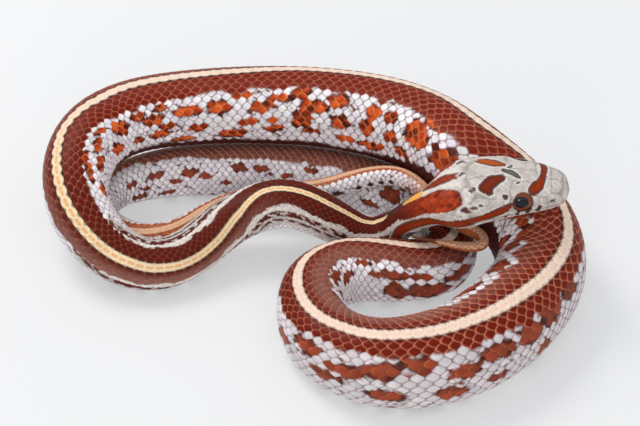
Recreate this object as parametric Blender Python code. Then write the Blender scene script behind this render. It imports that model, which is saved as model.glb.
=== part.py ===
"""Corn snake, a striped young one, lying coiled on a floor with its chin on its own body.

The body is one long taper swept along a smooth route. It is parted into a head, two eyes and
named lengths of neck, torso and tail. Sizes are in millimetres here and are scaled once, by MM.
"""
import math

import bmesh
import bpy
import numpy as np
from mathutils import Matrix, Vector

MM = 0.001

# Route of the back, from the snout tip to the tail tip: x, y and the lift of the belly
HEAD_ROUTE = [(41.5, -17.65, 18.0), (36.8, -17.45, 17.8), (32.0, -17.3, 17.7),
              (27.0, -17.8, 17.5), (22.3, -18.2, 17.0)]
NECK_ROUTE = [(18.9, -17.0, 14.3), (16.2, -14.1, 9.6), (14.3, -11.6, 5.2), (12.2, -10.4, 1.9),
              (9.9, -10.4, 1.0), (7.6, -10.4, 1.0), (4.5, -9.8, 2.1), (1.2, -9.3, 4.2),
              (-3.5, -8.6, 6.1), (-7.4, -8.4, 6.4), (-11.4, -8.8, 5.4), (-15.3, -9.9, 3.7),
              (-19.3, -12.4, 1.8), (-23.6, -15.6, 0.4), (-28.8, -17.4, 0.0), (-34.2, -16.7, 0.8)]
TOP_LOOP = [(-38.5, -14.0, 3.2), (-41.3, -10.0, 5.8), (-42.3, -4.8, 7.2), (-41.5, 1.2, 7.9),
            (-38.6, 6.5, 8.2), (-33.2, 10.2, 8.4), (-24.0, 12.3, 8.5), (-14.2, 12.9, 8.6),
            (-3.8, 12.5, 8.6), (5.3, 10.9, 8.6), (13.2, 8.0, 8.7), (20.4, 2.6, 8.9),
            (26.5, -4.6, 8.9), (31.9, -9.7, 6.8), (36.0, -14.7, 3.5)]
NEAR_LOOP = [(37.4, -21.5, 0.9), (34.0, -29.2, 0.0), (27.8, -36.8, 0.0), (20.7, -41.6, 0.0),
             (13.2, -43.3, 0.0), (6.0, -41.5, 0.0), (0.7, -36.6, 0.0), (-1.6, -29.4, 0.0),
             (-0.2, -23.2, 0.0), (4.3, -20.0, 0.0), (10.5, -19.5, 0.0), (16.4, -19.3, 0.0)]
HIDDEN_TURN = [(20.6, -17.4, 0.0), (22.4, -13.0, 0.0), (20.9, -7.7, 0.0), (17.5, -2.3, 0.0)]
BACK_RUN = [(12.2, 1.1, 0.0), (4.5, 4.4, 0.0), (-4.5, 6.4, 0.0), (-13.4, 7.2, 0.0),
            (-22.4, 7.2, 0.0), (-30.4, 6.0, 0.0), (-36.2, 3.4, 0.0)]
TAIL_ROUTE = [(-38.8, -0.6, 0.0), (-37.9, -5.2, 0.0), (-34.2, -8.3, 0.0), (-29.5, -9.1, 0.0),
              (-25.0, -7.6, 0.0), (-20.7, -4.5, 0.4), (-15.8, -1.8, 1.4), (-10.2, -0.8, 2.8),
              (-5.0, -1.4, 4.2), (0.0, -2.1, 5.6), (5.3, -2.0, 7.6), (10.5, -2.4, 9.4),
              (13.6, -3.7, 10.5), (16.4, -6.3, 11.0), (19.5, -10.4, 10.7), (22.4, -13.9, 10.4),
              (25.1, -16.6, 10.3), (27.3, -18.6, 10.4), (27.3, -20.6, 10.6), (25.0, -21.3, 10.8),
              (21.4, -20.5, 11.0), (18.2, -19.4, 11.0), (15.1, -18.3, 11.0)]
ROUTE = HEAD_ROUTE + NECK_ROUTE + TOP_LOOP + NEAR_LOOP + HIDDEN_TURN + BACK_RUN + TAIL_ROUTE
ROUTE_CENTRE = (-1.5, -15.6)

# Width of the body by the distance from the snout tip
GIRTH = [(0, 7.6), (19, 7.6), (25, 6.5), (31, 6.2), (38, 6.3), (45, 6.9), (54, 8.2), (58, 8.5),
         (72, 8.2), (82, 8.6), (93, 9.9), (104, 11.4), (117, 12.6), (153, 13.7), (180, 14.6),
         (205, 15.1), (229, 15.8), (246, 15.1), (260, 13.0), (268, 11.8), (275, 11.2),
         (291, 10.7), (302, 9.8), (316, 9.7), (326, 9.9), (347, 9.7), (364, 8.8), (370, 7.9),
         (380, 6.3), (390, 5.5), (412, 4.5), (436, 3.6), (454, 2.7), (466, 1.7), (473, 0.6)]
HEIGHT_SHARE = 0.92
BELLY_SHARE = 0.46
FLAT_SHARE = 0.445
UPPER_ROUNDNESS = 2.15
LOWER_ROUNDNESS = 3.0

# The head leans towards its right side; the lean dies out along the neck
LEAN = [(0, 12.0), (20, 12.0), (34, 0.0), (480, 0.0)]

STEP = 0.5
EASE_REACH = 9.0
CHORD_POWER = 0.8
FINE_SAMPLES = 6000
BODY_SIDES = 20
TAIL_SIDES = 14
RING_SHARE = 0.32
LEAST_SPACING = 0.8
JOINT_GAP = 0.3
TAIL_TIP = 0.4

# Lengths of the body: node and where each one ends
LENGTHS = [("neck_1", 34.0), ("neck_2", 54.0), ("neck_3", 71.0), ("neck_4", 88.0),
           ("torso_1", 104.0), ("torso_2", 122.0), ("torso_3", 146.0), ("torso_4", 168.0),
           ("torso_5", 190.0), ("torso_6", 204.0), ("torso_7", 222.0), ("torso_8", 243.0),
           ("torso_9", 264.0), ("torso_10", 290.0), ("torso_11", 311.0), ("torso_12", 338.0),
           ("torso_13", 362.0), ("tail_1", 379.0), ("tail_2", 400.0), ("tail_3", 424.0),
           ("tail_4", 444.0), ("tail_5", 452.0), ("tail_6", None)]

# Head: distance from the snout, half width, rise of the crown and drop of the jaw from the lips
HEAD_FORM = [(0.0, 1.1, 0.95, 0.15), (0.35, 2.15, 1.7, 0.5), (1.3, 3.1, 2.4, 1.2),
             (3.2, 3.95, 3.05, 1.75), (5.2, 4.5, 3.45, 2.05), (8.2, 5.2, 4.05, 2.4),
             (12.0, 5.85, 4.4, 2.7), (15.0, 6.1, 4.5, 2.85), (18.0, 6.1, 4.4, 2.95),
             (20.5, 5.4, 4.1, 3.0), (22.5, 4.3, 3.75, 3.0)]
HEAD_END = 24.0
HEAD_STATIONS = [0.0, 0.3, 0.9, 1.7, 2.6, 3.6, 4.8, 6.0, 7.2, 8.4, 9.6, 10.8, 12.2, 13.8, 15.4,
                 17.0, 18.6, 20.2, 21.6, 22.8, 24.0]
CROWN_SIDES = 11
JAW_SIDES = 7
CROWN_ROUNDNESS = 2.7
JAW_ROUNDNESS = 2.3
LIP_HEIGHT = 0.2
MOUTH_DEPTH = 0.4
MOUTH_CORNER = 17.6
MOUTH_FADE = 2.0
JAW_INSET = 0.95

# Brow over each eye: place, spread along and across, and how far it stands out
BROW_BACK = 8.0
BROW_REACH = 2.4
BROW_TURN = 58.0
BROW_SPREAD = 16.0
BROW_RISE = 0.3

EYE_BACK = 8.2
EYE_RISE = 2.0
EYE_SINK = 1.2
EYE_TILT = 24.0
EYE_RADII = (1.35, 2.35, 2.05)
EYE_GAP = 0.2
EYE_SIDES = 20
EYE_RINGS = 12
NOSTRIL_BACK = 2.7
NOSTRIL_RISE = 1.45
NOSTRIL_RADIUS = 0.42

# Head shields as corners: distance from the snout and share of the half width
MIDDLE_SHIELDS = {
    "rostral": [(0.1, -0.45), (1.0, -0.4), (1.5, 0.0), (1.0, 0.4), (0.1, 0.45)],
    "frontal": [(5.5, -0.28), (9.6, -0.24), (11.2, 0.0), (9.6, 0.24), (5.5, 0.28), (5.2, 0.0)]}
PAIRED_SHIELDS = {
    "internasal": [(1.5, 0.0), (1.0, 0.45), (1.9, 0.7), (2.9, 0.62), (3.0, 0.0)],
    "prefrontal": [(3.0, 0.0), (2.9, 0.62), (4.4, 0.76), (5.6, 0.62), (5.5, 0.28), (5.2, 0.0)],
    "supraocular": [(5.5, 0.28), (5.6, 0.62), (6.4, 0.84), (9.6, 0.84), (10.3, 0.6), (9.6, 0.24)],
    "parietal": [(11.2, 0.0), (9.6, 0.24), (10.3, 0.6), (12.8, 0.74), (16.0, 0.42), (16.6, 0.0)]}
SHIELD_RISE = 0.14
SHIELD_ROOT = 0.5
SHIELD_SEAM = 0.12
SHIELD_CUTS = 2

BROWN_RED = (0.19, 0.032, 0.014, 1.0)
PALE_GREY = (0.55, 0.51, 0.49, 1.0)
EYE_BLACK = (0.02, 0.015, 0.02, 1.0)
SCALE_ROUGHNESS = 0.42
EYE_ROUGHNESS = 0.06


def spline(places, values, at):
    """Natural cubic spline through the values, read at the places asked for."""
    gaps = np.diff(places)
    count = len(places)
    matrix = np.eye(count)
    wanted = np.zeros((count, values.shape[1]))
    for i in range(1, count - 1):
        matrix[i, i - 1:i + 2] = gaps[i - 1], 2 * (gaps[i - 1] + gaps[i]), gaps[i]
        rise_after = (values[i + 1] - values[i]) / gaps[i]
        rise_before = (values[i] - values[i - 1]) / gaps[i - 1]
        wanted[i] = 6 * (rise_after - rise_before)
    bend = np.linalg.solve(matrix, wanted)
    k = np.clip(np.searchsorted(places, at) - 1, 0, count - 2)
    gap = gaps[k][:, None]
    before = (at - places[k])[:, None]
    after = gap - before
    curve = (bend[k] * after ** 3 + bend[k + 1] * before ** 3) / (6 * gap)
    first = (values[k] / gap - bend[k] * gap / 6) * after
    second = (values[k + 1] / gap - bend[k + 1] * gap / 6) * before
    return curve + first + second


def eased(values):
    """Round off the corners of evenly sampled straight runs without overshooting."""
    half = int(EASE_REACH / STEP) // 2
    window = np.hanning(2 * half + 3)[1:-1]
    padded = np.pad(values, half, mode="reflect", reflect_type="odd")
    return np.convolve(padded, window / window.sum(), "valid")


def by_distance(table, at):
    """Read a table of distance and size, with its corners rounded off."""
    places, sizes = zip(*table)
    return eased(np.interp(at, places, sizes))


def body_line():
    """Sample the route: places, centres, travel, side and up directions, and widths."""
    points = np.array(ROUTE)
    points[:, :2] -= ROUTE_CENTRE
    chords = np.linalg.norm(np.diff(points[:, :2], axis=0), axis=1)
    marks = np.concatenate([[0], np.cumsum(chords ** CHORD_POWER)])
    fine = np.linspace(0, marks[-1], FINE_SAMPLES)
    plan = spline(marks, points[:, :2], fine)
    walked = np.concatenate([[0], np.cumsum(np.linalg.norm(np.diff(plan, axis=0), axis=1))])
    steps = np.arange(0, walked[-1], STEP)
    lift = np.maximum(eased(np.interp(steps, walked, np.interp(fine, marks, points[:, 2]))), 0)
    plan = np.stack([np.interp(steps, walked, plan[:, k]) for k in (0, 1)], axis=1)
    climb = np.diff(lift)
    walk = np.hypot(np.linalg.norm(np.diff(plan, axis=0), axis=1), climb)
    places = np.concatenate([[0], np.cumsum(walk)])
    width = by_distance(GIRTH, places)
    centre = np.column_stack([plan, lift + BELLY_SHARE * HEIGHT_SHARE * width])
    travel = np.gradient(centre, axis=0)
    travel /= np.linalg.norm(travel, axis=1)[:, None]
    side = np.cross(travel, (0, 0, 1))
    side /= np.linalg.norm(side, axis=1)[:, None]
    up = np.cross(side, travel)
    lean = np.radians(np.interp(places, *zip(*LEAN)))[:, None]
    leaned_side = side * np.cos(lean) + up * np.sin(lean)
    leaned_up = up * np.cos(lean) - side * np.sin(lean)
    return places, centre, leaned_side, leaned_up, width


PLACES, CENTRE, SIDE, UP, WIDTH = body_line()


def on_body(place, across, rise):
    """A point beside and above the body's line, in metres."""
    read = [np.array([np.interp(place, PLACES, table[:, k]) for k in range(3)])
            for table in (CENTRE, SIDE, UP)]
    return Vector((read[0] + read[1] * across + read[2] * rise) * MM)


def loaf_section(sides):
    """Body section with a flat belly: across in widths and rise in heights, evenly spaced."""
    turn = np.linspace(0, 2 * math.pi, 721)
    upper = np.cos(turn) >= 0
    power = 2 / np.where(upper, UPPER_ROUNDNESS, LOWER_ROUNDNESS)
    across = 0.5 * np.sign(np.sin(turn)) * np.abs(np.sin(turn)) ** power
    reach = np.where(upper, 1 - BELLY_SHARE, BELLY_SHARE)
    rise = reach * np.sign(np.cos(turn)) * np.abs(np.cos(turn)) ** power
    rise = np.where(rise < -FLAT_SHARE, -BELLY_SHARE, rise)
    around = np.concatenate([[0], np.cumsum(np.hypot(np.diff(across), np.diff(rise)))])
    at = np.linspace(0, around[-1], sides, endpoint=False)
    return np.interp(at, around, across), np.interp(at, around, rise)


def body_ring(place, shape):
    """One ring of the body at a distance from the snout."""
    width = float(np.interp(place, PLACES, WIDTH))
    height = width * HEIGHT_SHARE
    return [on_body(place, a * width, r * height) for a, r in zip(*shape)]


def head_sizes(back):
    """Half width, crown and jaw of the head at a distance behind the snout tip."""
    neck = float(np.interp(HEAD_END, PLACES, WIDTH))
    height = neck * HEIGHT_SHARE
    end = (HEAD_END, neck / 2, (1 - BELLY_SHARE) * height, BELLY_SHARE * height)
    table = np.vstack([HEAD_FORM, end])
    return spline(np.sqrt(table[:, 0]), table[:, 1:], np.sqrt([back]))[0]


def crown_point(back, turn):
    """Across and rise on the top of the head at a turn in degrees from its middle line."""
    half, crown, jaw = head_sizes(back)
    lip = min(LIP_HEIGHT, 0.3 * jaw)
    along = math.exp(-((back - BROW_BACK) / BROW_REACH) ** 2)
    brow = BROW_RISE * along * math.exp(-((abs(turn) - BROW_TURN) / BROW_SPREAD) ** 2)
    angle = math.radians(turn)
    share = abs(math.sin(angle)) ** (2 / CROWN_ROUNDNESS)
    across = math.copysign(half * share + brow, turn)
    rise = lip + (crown - lip) * abs(math.cos(angle)) ** (2 / CROWN_ROUNDNESS)
    return across, rise


def head_section(back):
    """Head section as pairs of across and rise, with the line of the mouth cut in."""
    half, crown, jaw = head_sizes(back)
    open_share = min(max((MOUTH_CORNER - back) / MOUTH_FADE, 0.0), 1.0)
    lip = min(LIP_HEIGHT, 0.3 * jaw)
    lower_half = half * (1 - (1 - JAW_INSET) * open_share)
    points = [crown_point(back, 180 * (k + 0.5) / CROWN_SIDES - 90) for k in range(CROWN_SIDES)]
    points.append((half, lip))
    points.append((half - MOUTH_DEPTH * open_share, 0.0))
    points.append((lower_half, -lip))
    for k in range(JAW_SIDES):
        turn = math.pi / 2 - math.pi * (k + 0.5) / JAW_SIDES
        across = lower_half * math.copysign(abs(math.sin(turn)) ** (2 / JAW_ROUNDNESS), turn)
        rise = -lip - (jaw - lip) * math.cos(turn) ** (2 / JAW_ROUNDNESS)
        points.append((across, rise))
    points.append((-lower_half, -lip))
    points.append((-half + MOUTH_DEPTH * open_share, 0.0))
    points.append((-half, lip))
    return points


def on_crown(back, share, out):
    """A point over the head's top at a share of the half width, in metres."""
    turn = math.degrees(math.asin(min(abs(share), 1) ** (CROWN_ROUNDNESS / 2)))
    turn = math.copysign(turn, share)
    here = on_body(back, *crown_point(back, turn))
    behind = on_body(back + STEP, *crown_point(back + STEP, turn))
    beside = on_body(back, *crown_point(back, turn + 1))
    normal = (behind - here).cross(beside - here).normalized()
    if normal.dot(here - on_body(back, 0, 0)) < 0:
        normal.negate()
    return here + normal * out * MM


def shield(name, corners, collection):
    """One raised head shield that follows the crown, set in from its neighbours by a seam."""
    mesh = bmesh.new()
    middle = np.mean(corners, axis=0)
    rim = []
    for back, share in corners:
        half = head_sizes(back)[0]
        reach = math.hypot(back - middle[0], (share - middle[1]) * half)
        keep = 1 - SHIELD_SEAM / reach
        rim.append(mesh.verts.new((middle[0] + (back - middle[0]) * keep,
                                   middle[1] + (share - middle[1]) * keep, 0)))
    mesh.faces.new(rim)
    bmesh.ops.poke(mesh, faces=mesh.faces[:])
    bmesh.ops.subdivide_edges(mesh, edges=mesh.edges[:], cuts=SHIELD_CUTS, use_grid_fill=True)
    bmesh.ops.triangulate(mesh, faces=mesh.faces[:])
    grown = bmesh.ops.extrude_face_region(mesh, geom=mesh.faces[:])
    raised = {v for v in grown["geom"] if isinstance(v, bmesh.types.BMVert)}
    for vert in mesh.verts:
        out = SHIELD_RISE if vert in raised else -SHIELD_ROOT
        vert.co = on_crown(max(vert.co.x, 0.02), vert.co.y, out)
    bmesh.ops.recalc_face_normals(mesh, faces=mesh.faces[:])
    data = bpy.data.meshes.new(name)
    mesh.to_mesh(data)
    mesh.free()
    piece = bpy.data.objects.new(name, data)
    collection.objects.link(piece)


def material(name, colour, roughness):
    """A plain finish for one node."""
    finish = bpy.data.materials.new(name)
    finish.use_nodes = True
    shader = finish.node_tree.nodes["Principled BSDF"]
    shader.inputs["Base Color"].default_value = colour
    shader.inputs["Roughness"].default_value = roughness
    shader.inputs["Metallic"].default_value = 0.0
    return finish


def loft(name, rings, collection, finish):
    """A closed body through rings of equal count, with flat ends."""
    mesh = bmesh.new()
    loops = [[mesh.verts.new(point) for point in ring] for ring in rings]
    count = len(loops[0])
    for before, after in zip(loops, loops[1:]):
        for k in range(count):
            n = (k + 1) % count
            mesh.faces.new((before[k], before[n], after[n], after[k]))
    mesh.faces.new(loops[0])
    mesh.faces.new(loops[-1])
    bmesh.ops.triangulate(mesh, faces=mesh.faces[:])
    bmesh.ops.recalc_face_normals(mesh, faces=mesh.faces[:])
    data = bpy.data.meshes.new(name)
    mesh.to_mesh(data)
    mesh.free()
    data.materials.append(finish)
    data.shade_smooth()
    data.set_sharp_from_angle(angle=math.radians(50))
    piece = bpy.data.objects.new(name, data)
    collection.objects.link(piece)
    return piece


def body_length(name, start, end, collection):
    """One length of neck, torso or tail between two cuts across the body."""
    shape = loaf_section(TAIL_SIDES if name.startswith("tail") else BODY_SIDES)
    places = [start]
    while places[-1] < end:
        spacing = RING_SHARE * float(np.interp(places[-1], PLACES, WIDTH))
        places.append(places[-1] + max(spacing, LEAST_SPACING))
    places = np.interp(places, (places[0], places[-1]), (start, end))
    rings = [body_ring(place, shape) for place in places]
    finish = material(name + "_scales", BROWN_RED, SCALE_ROUGHNESS)
    return loft(name, rings, collection, finish)


def ball(name, back, across, rise, tilt, radii, collection):
    """A rounded form set in the head's side; its first radius points outwards."""
    bpy.ops.mesh.primitive_uv_sphere_add(segments=EYE_SIDES, ring_count=EYE_RINGS, radius=MM)
    piece = bpy.context.object
    piece.name = name
    piece.data.name = name
    centre = on_body(back, across, rise)
    lean = math.radians(tilt)
    side = math.copysign(math.cos(lean), across)
    outwards = (on_body(back, across + side, rise + math.sin(lean)) - centre).normalized()
    along = (on_body(back + STEP, across, rise) - centre).normalized()
    along = (along - outwards * along.dot(outwards)).normalized()
    axes = Matrix((outwards, along, outwards.cross(along))).transposed()
    piece.data.transform(axes.to_4x4() @ Matrix.Diagonal((*radii, 1)))
    piece.location = centre
    piece.data.shade_smooth()
    for old in piece.users_collection:
        old.objects.unlink(piece)
    collection.objects.link(piece)
    return piece


def fuse(piece, collection):
    """Join a collection of overlapping solids to the piece."""
    step = piece.modifiers.new("fuse", "BOOLEAN")
    step.operation = "UNION"
    step.operand_type = "COLLECTION"
    step.collection = collection
    step.solver = "EXACT"
    bpy.context.view_layer.objects.active = piece
    bpy.ops.object.modifier_apply(modifier=step.name)
    for used in list(collection.objects):
        bpy.data.objects.remove(used, do_unlink=True)
    bpy.data.collections.remove(collection)


def cut(piece, cutters):
    """Take every cutter away from the piece."""
    for cutter in cutters:
        cutter.hide_render = True
        cutter.display_type = "WIRE"
        step = piece.modifiers.new(cutter.name, "BOOLEAN")
        step.operation = "DIFFERENCE"
        step.solver = "EXACT"
        step.object = cutter


def build():
    """Make the whole snake."""
    for old in list(bpy.data.objects):
        bpy.data.objects.remove(old, do_unlink=True)
    snake = bpy.data.collections.new("corn_snake")
    cutters = bpy.data.collections.new("cutters")
    bpy.context.scene.collection.children.link(snake)
    bpy.context.scene.collection.children.link(cutters)
    shields = bpy.data.collections.new("shields")
    bpy.context.scene.collection.children.link(shields)

    rings = [[on_body(back, a, r) for a, r in head_section(back)] for back in HEAD_STATIONS]
    head = loft("head", rings, snake, material("head_scales", PALE_GREY, SCALE_ROUGHNESS))

    for name, corners in MIDDLE_SHIELDS.items():
        shield(name, corners, shields)
    for name, corners in PAIRED_SHIELDS.items():
        shield(name + "_right", corners, shields)
        shield(name + "_left", [(back, -share) for back, share in corners], shields)
    fuse(head, shields)

    hollows = []
    for label, sign in (("left", 1), ("right", -1)):
        across = sign * (head_sizes(EYE_BACK)[0] - EYE_SINK)
        eye = ball("eye_" + label, EYE_BACK, across, EYE_RISE, EYE_TILT, EYE_RADII, snake)
        eye.data.materials.append(material("eye_surface_" + label, EYE_BLACK, EYE_ROUGHNESS))
        socket = [radius + EYE_GAP for radius in EYE_RADII]
        hollows.append(ball("socket_" + label, EYE_BACK, across, EYE_RISE, EYE_TILT, socket,
                            cutters))
        across = sign * head_sizes(NOSTRIL_BACK)[0]
        hollows.append(ball("nostril_" + label, NOSTRIL_BACK, across, NOSTRIL_RISE, 0,
                            [NOSTRIL_RADIUS] * 3, cutters))
    cut(head, hollows)

    start = HEAD_END + JOINT_GAP
    for name, end in LENGTHS:
        stop = PLACES[-1] - TAIL_TIP if end is None else end
        body_length(name, start, stop, snake)
        start = stop + JOINT_GAP


build()
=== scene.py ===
import math

import bmesh
import bpy
import numpy as np
from mathutils import Matrix, Vector


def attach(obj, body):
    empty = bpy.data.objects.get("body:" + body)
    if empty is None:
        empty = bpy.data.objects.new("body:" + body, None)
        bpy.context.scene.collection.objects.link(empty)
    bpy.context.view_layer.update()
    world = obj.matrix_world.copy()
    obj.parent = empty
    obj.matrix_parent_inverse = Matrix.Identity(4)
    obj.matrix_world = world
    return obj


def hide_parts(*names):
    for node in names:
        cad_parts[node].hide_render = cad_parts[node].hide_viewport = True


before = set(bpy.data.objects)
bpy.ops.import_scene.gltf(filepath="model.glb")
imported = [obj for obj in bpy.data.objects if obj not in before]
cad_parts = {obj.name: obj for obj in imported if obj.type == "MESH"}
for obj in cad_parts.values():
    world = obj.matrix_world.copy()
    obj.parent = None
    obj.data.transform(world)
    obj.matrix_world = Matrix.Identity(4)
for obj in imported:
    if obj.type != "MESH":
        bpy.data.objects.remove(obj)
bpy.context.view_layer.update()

# Skin. One unbroken skin runs from the snout to the tail tip and stands for every length of
# flesh in the frame. It is a grid bent round the body's own line, a little inside the solids,
# and its colour, the pattern with its painted shade and highlights, is the same as the scales
# over it carry. Sizes are in millimetres.
MM = 0.001
HEAD_ROUTE = [(41.5, -17.65, 18.0), (36.8, -17.45, 17.8), (32.0, -17.3, 17.7),
              (27.0, -17.8, 17.5), (22.3, -18.2, 17.0)]
NECK_ROUTE = [(18.9, -17.0, 14.3), (16.2, -14.1, 9.6), (14.3, -11.6, 5.2), (12.2, -10.4, 1.9),
              (9.9, -10.4, 1.0), (7.6, -10.4, 1.0), (4.5, -9.8, 2.1), (1.2, -9.3, 4.2),
              (-3.5, -8.6, 6.1), (-7.4, -8.4, 6.4), (-11.4, -8.8, 5.4), (-15.3, -9.9, 3.7),
              (-19.3, -12.4, 1.8), (-23.6, -15.6, 0.4), (-28.8, -17.4, 0.0), (-34.2, -16.7, 0.8)]
TOP_LOOP = [(-38.5, -14.0, 3.2), (-41.3, -10.0, 5.8), (-42.3, -4.8, 7.2), (-41.5, 1.2, 7.9),
            (-38.6, 6.5, 8.2), (-33.2, 10.2, 8.4), (-24.0, 12.3, 8.5), (-14.2, 12.9, 8.6),
            (-3.8, 12.5, 8.6), (5.3, 10.9, 8.6), (13.2, 8.0, 8.7), (20.4, 2.6, 8.9),
            (26.5, -4.6, 8.9), (31.9, -9.7, 6.8), (36.0, -14.7, 3.5)]
NEAR_LOOP = [(37.4, -21.5, 0.9), (34.0, -29.2, 0.0), (27.8, -36.8, 0.0), (20.7, -41.6, 0.0),
             (13.2, -43.3, 0.0), (6.0, -41.5, 0.0), (0.7, -36.6, 0.0), (-1.6, -29.4, 0.0),
             (-0.2, -23.2, 0.0), (4.3, -20.0, 0.0), (10.5, -19.5, 0.0), (16.4, -19.3, 0.0)]
HIDDEN_TURN = [(20.6, -17.4, 0.0), (22.4, -13.0, 0.0), (20.9, -7.7, 0.0), (17.5, -2.3, 0.0)]
BACK_RUN = [(12.2, 1.1, 0.0), (4.5, 4.4, 0.0), (-4.5, 6.4, 0.0), (-13.4, 7.2, 0.0),
            (-22.4, 7.2, 0.0), (-30.4, 6.0, 0.0), (-36.2, 3.4, 0.0)]
TAIL_ROUTE = [(-38.8, -0.6, 0.0), (-37.9, -5.2, 0.0), (-34.2, -8.3, 0.0), (-29.5, -9.1, 0.0),
              (-25.0, -7.6, 0.0), (-20.7, -4.5, 0.4), (-15.8, -1.8, 1.4), (-10.2, -0.8, 2.8),
              (-5.0, -1.4, 4.2), (0.0, -2.1, 5.6), (5.3, -2.0, 7.6), (10.5, -2.4, 9.4),
              (13.6, -3.7, 10.5), (16.4, -6.3, 11.0), (19.5, -10.4, 10.7), (22.4, -13.9, 10.4),
              (25.1, -16.6, 10.3), (27.3, -18.6, 10.4), (27.3, -20.6, 10.6), (25.0, -21.3, 10.8),
              (21.4, -20.5, 11.0), (18.2, -19.4, 11.0), (15.1, -18.3, 11.0)]
ROUTE = HEAD_ROUTE + NECK_ROUTE + TOP_LOOP + NEAR_LOOP + HIDDEN_TURN + BACK_RUN + TAIL_ROUTE
ROUTE_CENTRE = (-1.5, -15.6)
GIRTH = [(0, 7.6), (19, 7.6), (25, 6.5), (31, 6.2), (38, 6.3), (45, 6.9), (54, 8.2), (58, 8.5),
         (72, 8.2), (82, 8.6), (93, 9.9), (104, 11.4), (117, 12.6), (153, 13.7), (180, 14.6),
         (205, 15.1), (229, 15.8), (246, 15.1), (260, 13.0), (268, 11.8), (275, 11.2),
         (291, 10.7), (302, 9.8), (316, 9.7), (326, 9.9), (347, 9.7), (364, 8.8), (370, 7.9),
         (380, 6.3), (390, 5.5), (412, 4.5), (436, 3.6), (454, 2.7), (466, 1.7), (473, 0.6)]
HEIGHT_SHARE = 0.92
BELLY_SHARE = 0.46
FLAT_SHARE = 0.445
UPPER_ROUNDNESS = 2.15
LOWER_ROUNDNESS = 3.0
LEAN = [(0, 12.0), (20, 12.0), (34, 0.0), (480, 0.0)]
STEP = 0.5
EASE_REACH = 9.0
CHORD_POWER = 0.8
FINE_SAMPLES = 6000
TAIL_TIP = 0.4


def spline(places, values, at):
    """Natural cubic spline through the values, read at the places asked for."""
    gaps = np.diff(places)
    count = len(places)
    matrix = np.eye(count)
    wanted = np.zeros((count, values.shape[1]))
    for i in range(1, count - 1):
        matrix[i, i - 1:i + 2] = gaps[i - 1], 2 * (gaps[i - 1] + gaps[i]), gaps[i]
        rise_after = (values[i + 1] - values[i]) / gaps[i]
        rise_before = (values[i] - values[i - 1]) / gaps[i - 1]
        wanted[i] = 6 * (rise_after - rise_before)
    bend = np.linalg.solve(matrix, wanted)
    k = np.clip(np.searchsorted(places, at) - 1, 0, count - 2)
    gap = gaps[k][:, None]
    before = (at - places[k])[:, None]
    after = gap - before
    curve = (bend[k] * after ** 3 + bend[k + 1] * before ** 3) / (6 * gap)
    first = (values[k] / gap - bend[k] * gap / 6) * after
    second = (values[k + 1] / gap - bend[k + 1] * gap / 6) * before
    return curve + first + second


def eased(values):
    """Round off the corners of evenly sampled straight runs without overshooting."""
    half = int(EASE_REACH / STEP) // 2
    window = np.hanning(2 * half + 3)[1:-1]
    padded = np.pad(values, half, mode="reflect", reflect_type="odd")
    return np.convolve(padded, window / window.sum(), "valid")


def read(table, at):
    """Straight runs between the rows of a table of distance and size."""
    return np.interp(at, *zip(*table))


def body_line():
    """Places from the snout, and there the centre, the side and up directions and the width."""
    points = np.array(ROUTE)
    points[:, :2] -= ROUTE_CENTRE
    chords = np.linalg.norm(np.diff(points[:, :2], axis=0), axis=1)
    marks = np.concatenate([[0], np.cumsum(chords ** CHORD_POWER)])
    fine = np.linspace(0, marks[-1], FINE_SAMPLES)
    plan = spline(marks, points[:, :2], fine)
    walked = np.concatenate([[0], np.cumsum(np.linalg.norm(np.diff(plan, axis=0), axis=1))])
    steps = np.arange(0, walked[-1], STEP)
    lift = np.maximum(eased(np.interp(steps, walked, np.interp(fine, marks, points[:, 2]))), 0)
    plan = np.stack([np.interp(steps, walked, plan[:, k]) for k in (0, 1)], axis=1)
    walk = np.hypot(np.linalg.norm(np.diff(plan, axis=0), axis=1), np.diff(lift))
    places = np.concatenate([[0], np.cumsum(walk)])
    width = eased(read(GIRTH, places))
    centre = np.column_stack([plan, lift + BELLY_SHARE * HEIGHT_SHARE * width])
    travel = np.gradient(centre, axis=0)
    travel /= np.linalg.norm(travel, axis=1)[:, None]
    side = np.cross(travel, (0, 0, 1))
    side /= np.linalg.norm(side, axis=1)[:, None]
    up = np.cross(side, travel)
    lean = np.radians(read(LEAN, places))[:, None]
    leaned_side = side * np.cos(lean) + up * np.sin(lean)
    leaned_up = up * np.cos(lean) - side * np.sin(lean)
    return places, centre, leaned_side, leaned_up, width


PLACES, CENTRE, SIDE, UP, WIDTH = body_line()
LAST = PLACES[-1] - TAIL_TIP

# the head: distance from the snout, half width, rise of the crown and drop of the jaw
HEAD_FORM = [(-0.15, 0.05, 0.05, 0.02), (0.0, 1.1, 0.95, 0.15), (0.35, 2.15, 1.7, 0.5),
             (1.3, 3.1, 2.4, 1.2), (3.2, 3.95, 3.05, 1.75), (5.2, 4.5, 3.45, 2.05),
             (8.2, 5.2, 4.05, 2.4), (12.0, 5.85, 4.4, 2.7), (15.0, 6.1, 4.5, 2.85),
             (18.0, 6.1, 4.4, 2.95), (20.5, 5.4, 4.1, 3.0), (22.5, 4.3, 3.75, 3.0)]
SNOUT = 0.15
HEAD_END = 24.0
HEAD_FADE = (19.0, 26.0)
CROWN_ROUNDNESS = 2.7
JAW_ROUNDNESS = 2.3
LIP_HEIGHT = 0.2
LIP_TURN = 0.266
JAW_INSET = 0.95
MOUTH_CORNER = 17.6
MOUTH_FADE = 2.0
MOUTH_DEPTH = 0.4
MOUTH_WIDTH = 0.16
BROW_BACK = 8.0
BROW_REACH = 2.4
BROW_TURN = 58.0
BROW_SPREAD = 16.0
BROW_RISE = 0.3
EYE_BACK = 8.2
EYE_RISE = 1.85
EYE_SINK = 1.2
EYE_TILT = 21.0
EYE_RADII = (1.3, 2.25, 1.85)
NOSTRIL_BACK = 2.7
NOSTRIL_RISE = 1.45
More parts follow.
